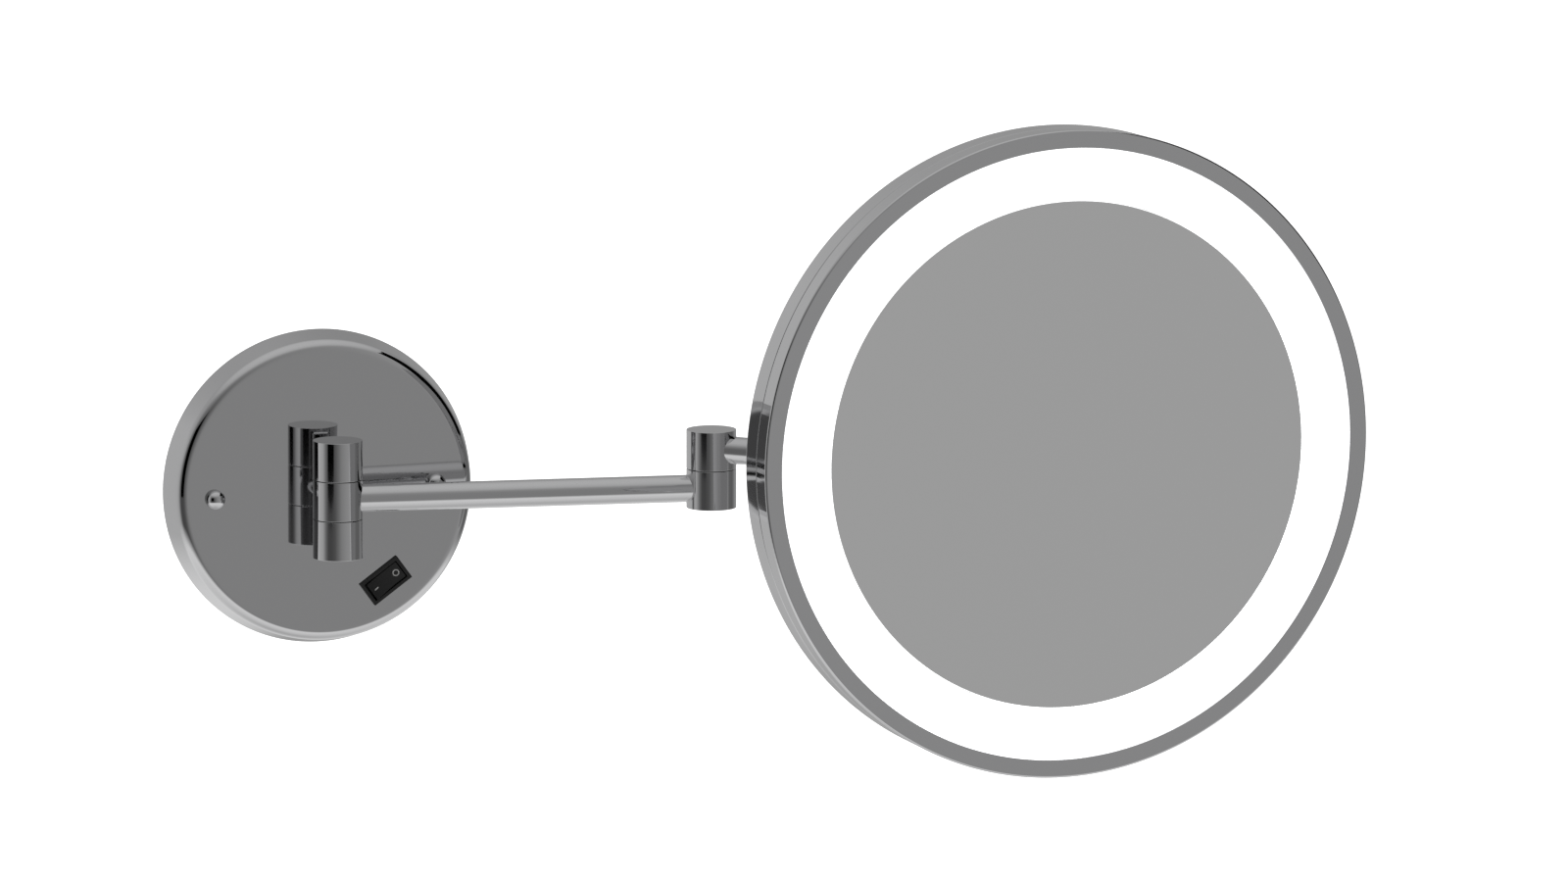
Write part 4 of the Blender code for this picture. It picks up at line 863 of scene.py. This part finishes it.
low = HEAD_BACK
rim = HEAD_BACK + SHELL_DEPTH
ring_in, ring_out, ring_depth = SHELL_RING
lip = SHELL_LIP
shell = lathe([(0, low), (ring_in, low), (ring_in + SHELL_RING_SLOPE, low + ring_depth),
               (ring_out - SHELL_RING_SLOPE, low + ring_depth),
               (ring_out, low), (head_side(SHELL_EDGE) - SHELL_EDGE - MM, low),
               *arc((head_side(SHELL_EDGE) - SHELL_EDGE, low + SHELL_EDGE), SHELL_EDGE, -90, 0, 8),
               (head_side(SHELL_DEPTH / 2), HEAD_BACK + SHELL_DEPTH / 2),
               *arc((head_side(SHELL_DEPTH) - lip, rim - lip), lip, 0, 90, 3),
               (head_side(SHELL_DEPTH) - SHELL_WALL, rim),
               (head_side(SHELL_WALL) - 2 * SHELL_WALL, low + SHELL_WALL), (0, low + SHELL_WALL)],
              HEAD_STEPS)
settle(shell, "chrome_back_shell", chrome, HEAD_FRAME)
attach(shell, "head")
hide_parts("back_shell")

# Every screw is a zinc-plated pan head with a cross recess.
PAN = (2.5 * MM, 1.3 * MM)
PAN_RIM = 0.3 * MM
PAN_SEATING = 0.02 * MM
PAN_SHANK = 1.4 * MM
SHELL_SCREW_REACH = 6 * MM
CROSS = (2.6 * MM, 0.55 * MM, 0.8 * MM)

pan_radius, pan_height = PAN
sets = [("flange_screw", FLANGE_SCREWS, FLANGE_SCREW_LINE, FLANGE[0], HEAD_BACK),
        ("shell_screw", SHELL_SCREWS, SHELL_SCREW_LINE, HEAD_BACK, HEAD_BACK + SHELL_SCREW_REACH)]
for family, count, line, seat, end in sets:
    for number in range(count):
        crown = [(pan_radius * cos(radians(a)), seat - PAN_RIM - (pan_height - PAN_RIM) * sin(radians(a)))
                 for a in range(90, -1, -15)]
        screw = lathe([(0, crown[0][1]), *crown[1:], (pan_radius, seat - PAN_SEATING),
                       (PAN_SHANK, seat - PAN_SEATING), (PAN_SHANK, end), (0, end)], 40)
        for turned_by in (0, pi / 2):
            bpy.ops.mesh.primitive_cube_add(size=1, location=(0, 0, crown[0][1]),
                                            rotation=(0, 0, turned_by + number))
            bpy.context.object.scale = (CROSS[0], CROSS[1], 2 * CROSS[2])
            cut_with(screw, bpy.context.object)
        angle = 2 * pi * (number + 0.5) / count
        at = Matrix.Translation((line * cos(angle), line * sin(angle), 0))
        settle(screw, f"zinc_{family}_{number + 1}", zinc, HEAD_FRAME @ at)
        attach(screw, "head")
        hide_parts(f"{family}_{number + 1}")


# --- Bezel ring -----------------------------------------------------------------------------------
# The head's front ring, turned and chromed: a side wall that carries on from the shell across a
# hairline seam, a small rounded edge, and a flat lip that frames the light.

LIP_WIDTH = 7.0 * MM
LIP_THICKNESS = 1.8 * MM
FRONT_EDGE = 0.9 * MM
WINDOW_EDGE = 0.25 * MM

front = HEAD_BACK + HEAD_DEPTH
low = rim + SEAM
window = HEAD_RADIUS - LIP_WIDTH
wall_inside = head_side(SHELL_DEPTH) - SHELL_WALL
bezel = lathe([(wall_inside, low), *arc((head_side(SHELL_DEPTH) - lip, low + lip), lip, -90, 0, 3),
               (HEAD_RADIUS - 0.3 * (front - low) * tan(HEAD_DRAFT), low + 0.7 * (front - low)),
               *arc((HEAD_RADIUS - FRONT_EDGE, front - FRONT_EDGE), FRONT_EDGE, 0, 90, 10),
               (HEAD_RADIUS - FRONT_EDGE - MM, front), (window + WINDOW_EDGE + 0.5 * MM, front),
               *arc((window + WINDOW_EDGE, front - WINDOW_EDGE), WINDOW_EDGE, 90, 180, 4),
               (window, front - LIP_THICKNESS), (wall_inside, front - LIP_THICKNESS)], HEAD_STEPS)
settle(bezel, "chrome_bezel_ring", chrome, HEAD_FRAME)
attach(bezel, "head")
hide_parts("bezel_ring")
refinish(rubber, "bezel_gasket")


# --- Light ring -----------------------------------------------------------------------------------
# A ring of opal acrylic flush with the bezel, lit from behind by lamp chips on a ring-shaped board
# that sits in the aluminium light tray. Opal acrylic glows evenly, with a faint unevenness in its tint.

MIRROR_RADIUS = 98.0 * MM
DIFFUSER_THICKNESS = 3.0 * MM
DIFFUSER_FLANGE = 2.5 * MM
DIFFUSER_EDGE = 0.2 * MM
DIFFUSER_ROOM = 0.1 * MM

opal = bpy.data.materials.new("opal_acrylic")
opal.use_nodes = True
tree = opal.node_tree
shader = tree.nodes["Principled BSDF"]
shader.inputs["Base Color"].default_value = paint("#F6F6F5")
shader.inputs["Roughness"].default_value = 0.25
shader.inputs["IOR"].default_value = 1.49
where = add_node(tree, "ShaderNodeTexCoord")
wave = add_node(tree, "ShaderNodeTexNoise", [("Vector", where.outputs["Object"])],
                [("Scale", 60.0), ("Detail", 2.0)])
glow = add_node(tree, "ShaderNodeValToRGB", [(0, wave.outputs["Fac"])])
fill_ramp(glow, [(0.3, "#FFFFFF"), (0.7, "#FBFCFF")])
tree.links.new(glow.outputs["Color"], shader.inputs["Emission Color"])
shader.inputs["Emission Strength"].default_value = 1.1

inside, outside = MIRROR_RADIUS + DIFFUSER_ROOM, window - DIFFUSER_ROOM
face = front - DIFFUSER_ROOM / 2
low = face - DIFFUSER_THICKNESS
step = front - LIP_THICKNESS - DIFFUSER_ROOM
edge = DIFFUSER_EDGE
flange = window + DIFFUSER_FLANGE
diffuser = lathe([(inside, low), (flange, low), (flange, step), (outside, step),
                  *arc((outside - edge, face - edge), edge, 0, 90, 3),
                  *arc((inside + edge, face - edge), edge, 90, 180, 3)], HEAD_STEPS)
settle(diffuser, "opal_light_ring", opal, HEAD_FRAME)
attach(diffuser, "head")
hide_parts("light_diffuser")

# Spun aluminium sheet: pale and dull with faint circular marks.
aluminium = bpy.data.materials.new("spun_aluminium")
aluminium.use_nodes = True
tree = aluminium.node_tree
shader = tree.nodes["Principled BSDF"]
shader.inputs["Metallic"].default_value = 1.0
shader.inputs["Base Color"].default_value = paint("#C8C9CA")
where = add_node(tree, "ShaderNodeTexCoord")
marks = add_node(tree, "ShaderNodeTexNoise", [("Vector", where.outputs["Object"])], [("Scale", 400.0)])
dull = add_node(tree, "ShaderNodeMapRange", [(0, marks.outputs["Fac"])],
                [("To Min", 0.30), ("To Max", 0.45)])
tree.links.new(dull.outputs[0], shader.inputs["Roughness"])
# Foam tape behind the glass: charcoal, open and matt.
foam = bpy.data.materials.new("charcoal_foam")
foam.use_nodes = True
tree = foam.node_tree
shader = tree.nodes["Principled BSDF"]
shader.inputs["Roughness"].default_value = 0.95
where = add_node(tree, "ShaderNodeTexCoord")
cells = add_node(tree, "ShaderNodeTexVoronoi", [("Vector", where.outputs["Object"])], [("Scale", 1500.0)])
tint = add_node(tree, "ShaderNodeValToRGB", [(0, cells.outputs["Distance"])])
fill_ramp(tint, [(0.1, "#262626"), (0.7, "#4A4A4A")])
tree.links.new(tint.outputs["Color"], shader.inputs["Base Color"])
refinish(aluminium, "light_pan")
refinish(urea, "led_board")
refinish(foam, "mirror_cushion")
refinish(zinc, "head_stiffener")


# --- Mirror glass ---------------------------------------------------------------------------------
# A round magnifying glass, silvered behind, with a fine ground edge. Its face is hollowed very
# slightly, which is what magnifies.

GLASS_THICKNESS = 3.0 * MM
GROUND_EDGE = 0.35 * MM
HOLLOW_RADIUS = 9.0
HOLLOW_RINGS = 12
GLASS_ROOM = 0.1 * MM

# Silvered glass: almost a perfect mirror, with the faintest haze.
silvered = bpy.data.materials.new("silvered_glass")
silvered.use_nodes = True
tree = silvered.node_tree
shader = tree.nodes["Principled BSDF"]
shader.inputs["Base Color"].default_value = paint("#F2F2F2")
shader.inputs["Metallic"].default_value = 1.0
where = add_node(tree, "ShaderNodeTexCoord")
haze = add_node(tree, "ShaderNodeTexNoise", [("Vector", where.outputs["Object"])],
                [("Scale", 14.0), ("Detail", 3.0)])
clear = add_node(tree, "ShaderNodeMapRange", [(0, haze.outputs["Fac"])],
                 [("To Min", 0.012), ("To Max", 0.03)])
tree.links.new(clear.outputs[0], shader.inputs["Roughness"])

hollow_edge = MIRROR_RADIUS - GROUND_EDGE
radii = [hollow_edge * ring / HOLLOW_RINGS for ring in range(HOLLOW_RINGS)]
hollow = [(radius, front - (hollow_edge ** 2 - radius ** 2) / (2 * HOLLOW_RADIUS)) for radius in radii]
glass_back = front - GLASS_THICKNESS
glass_edge = MIRROR_RADIUS - GLASS_ROOM
glass = lathe([(0, glass_back), (glass_edge - GLASS_ROOM, glass_back), (glass_edge, glass_back + GLASS_ROOM),
               (glass_edge, front - GROUND_EDGE), (hollow_edge, front), *hollow[::-1]], 256)
settle(glass, "silvered_mirror_glass", silvered, HEAD_FRAME, 20)
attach(glass, "head")
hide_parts("mirror_glass")
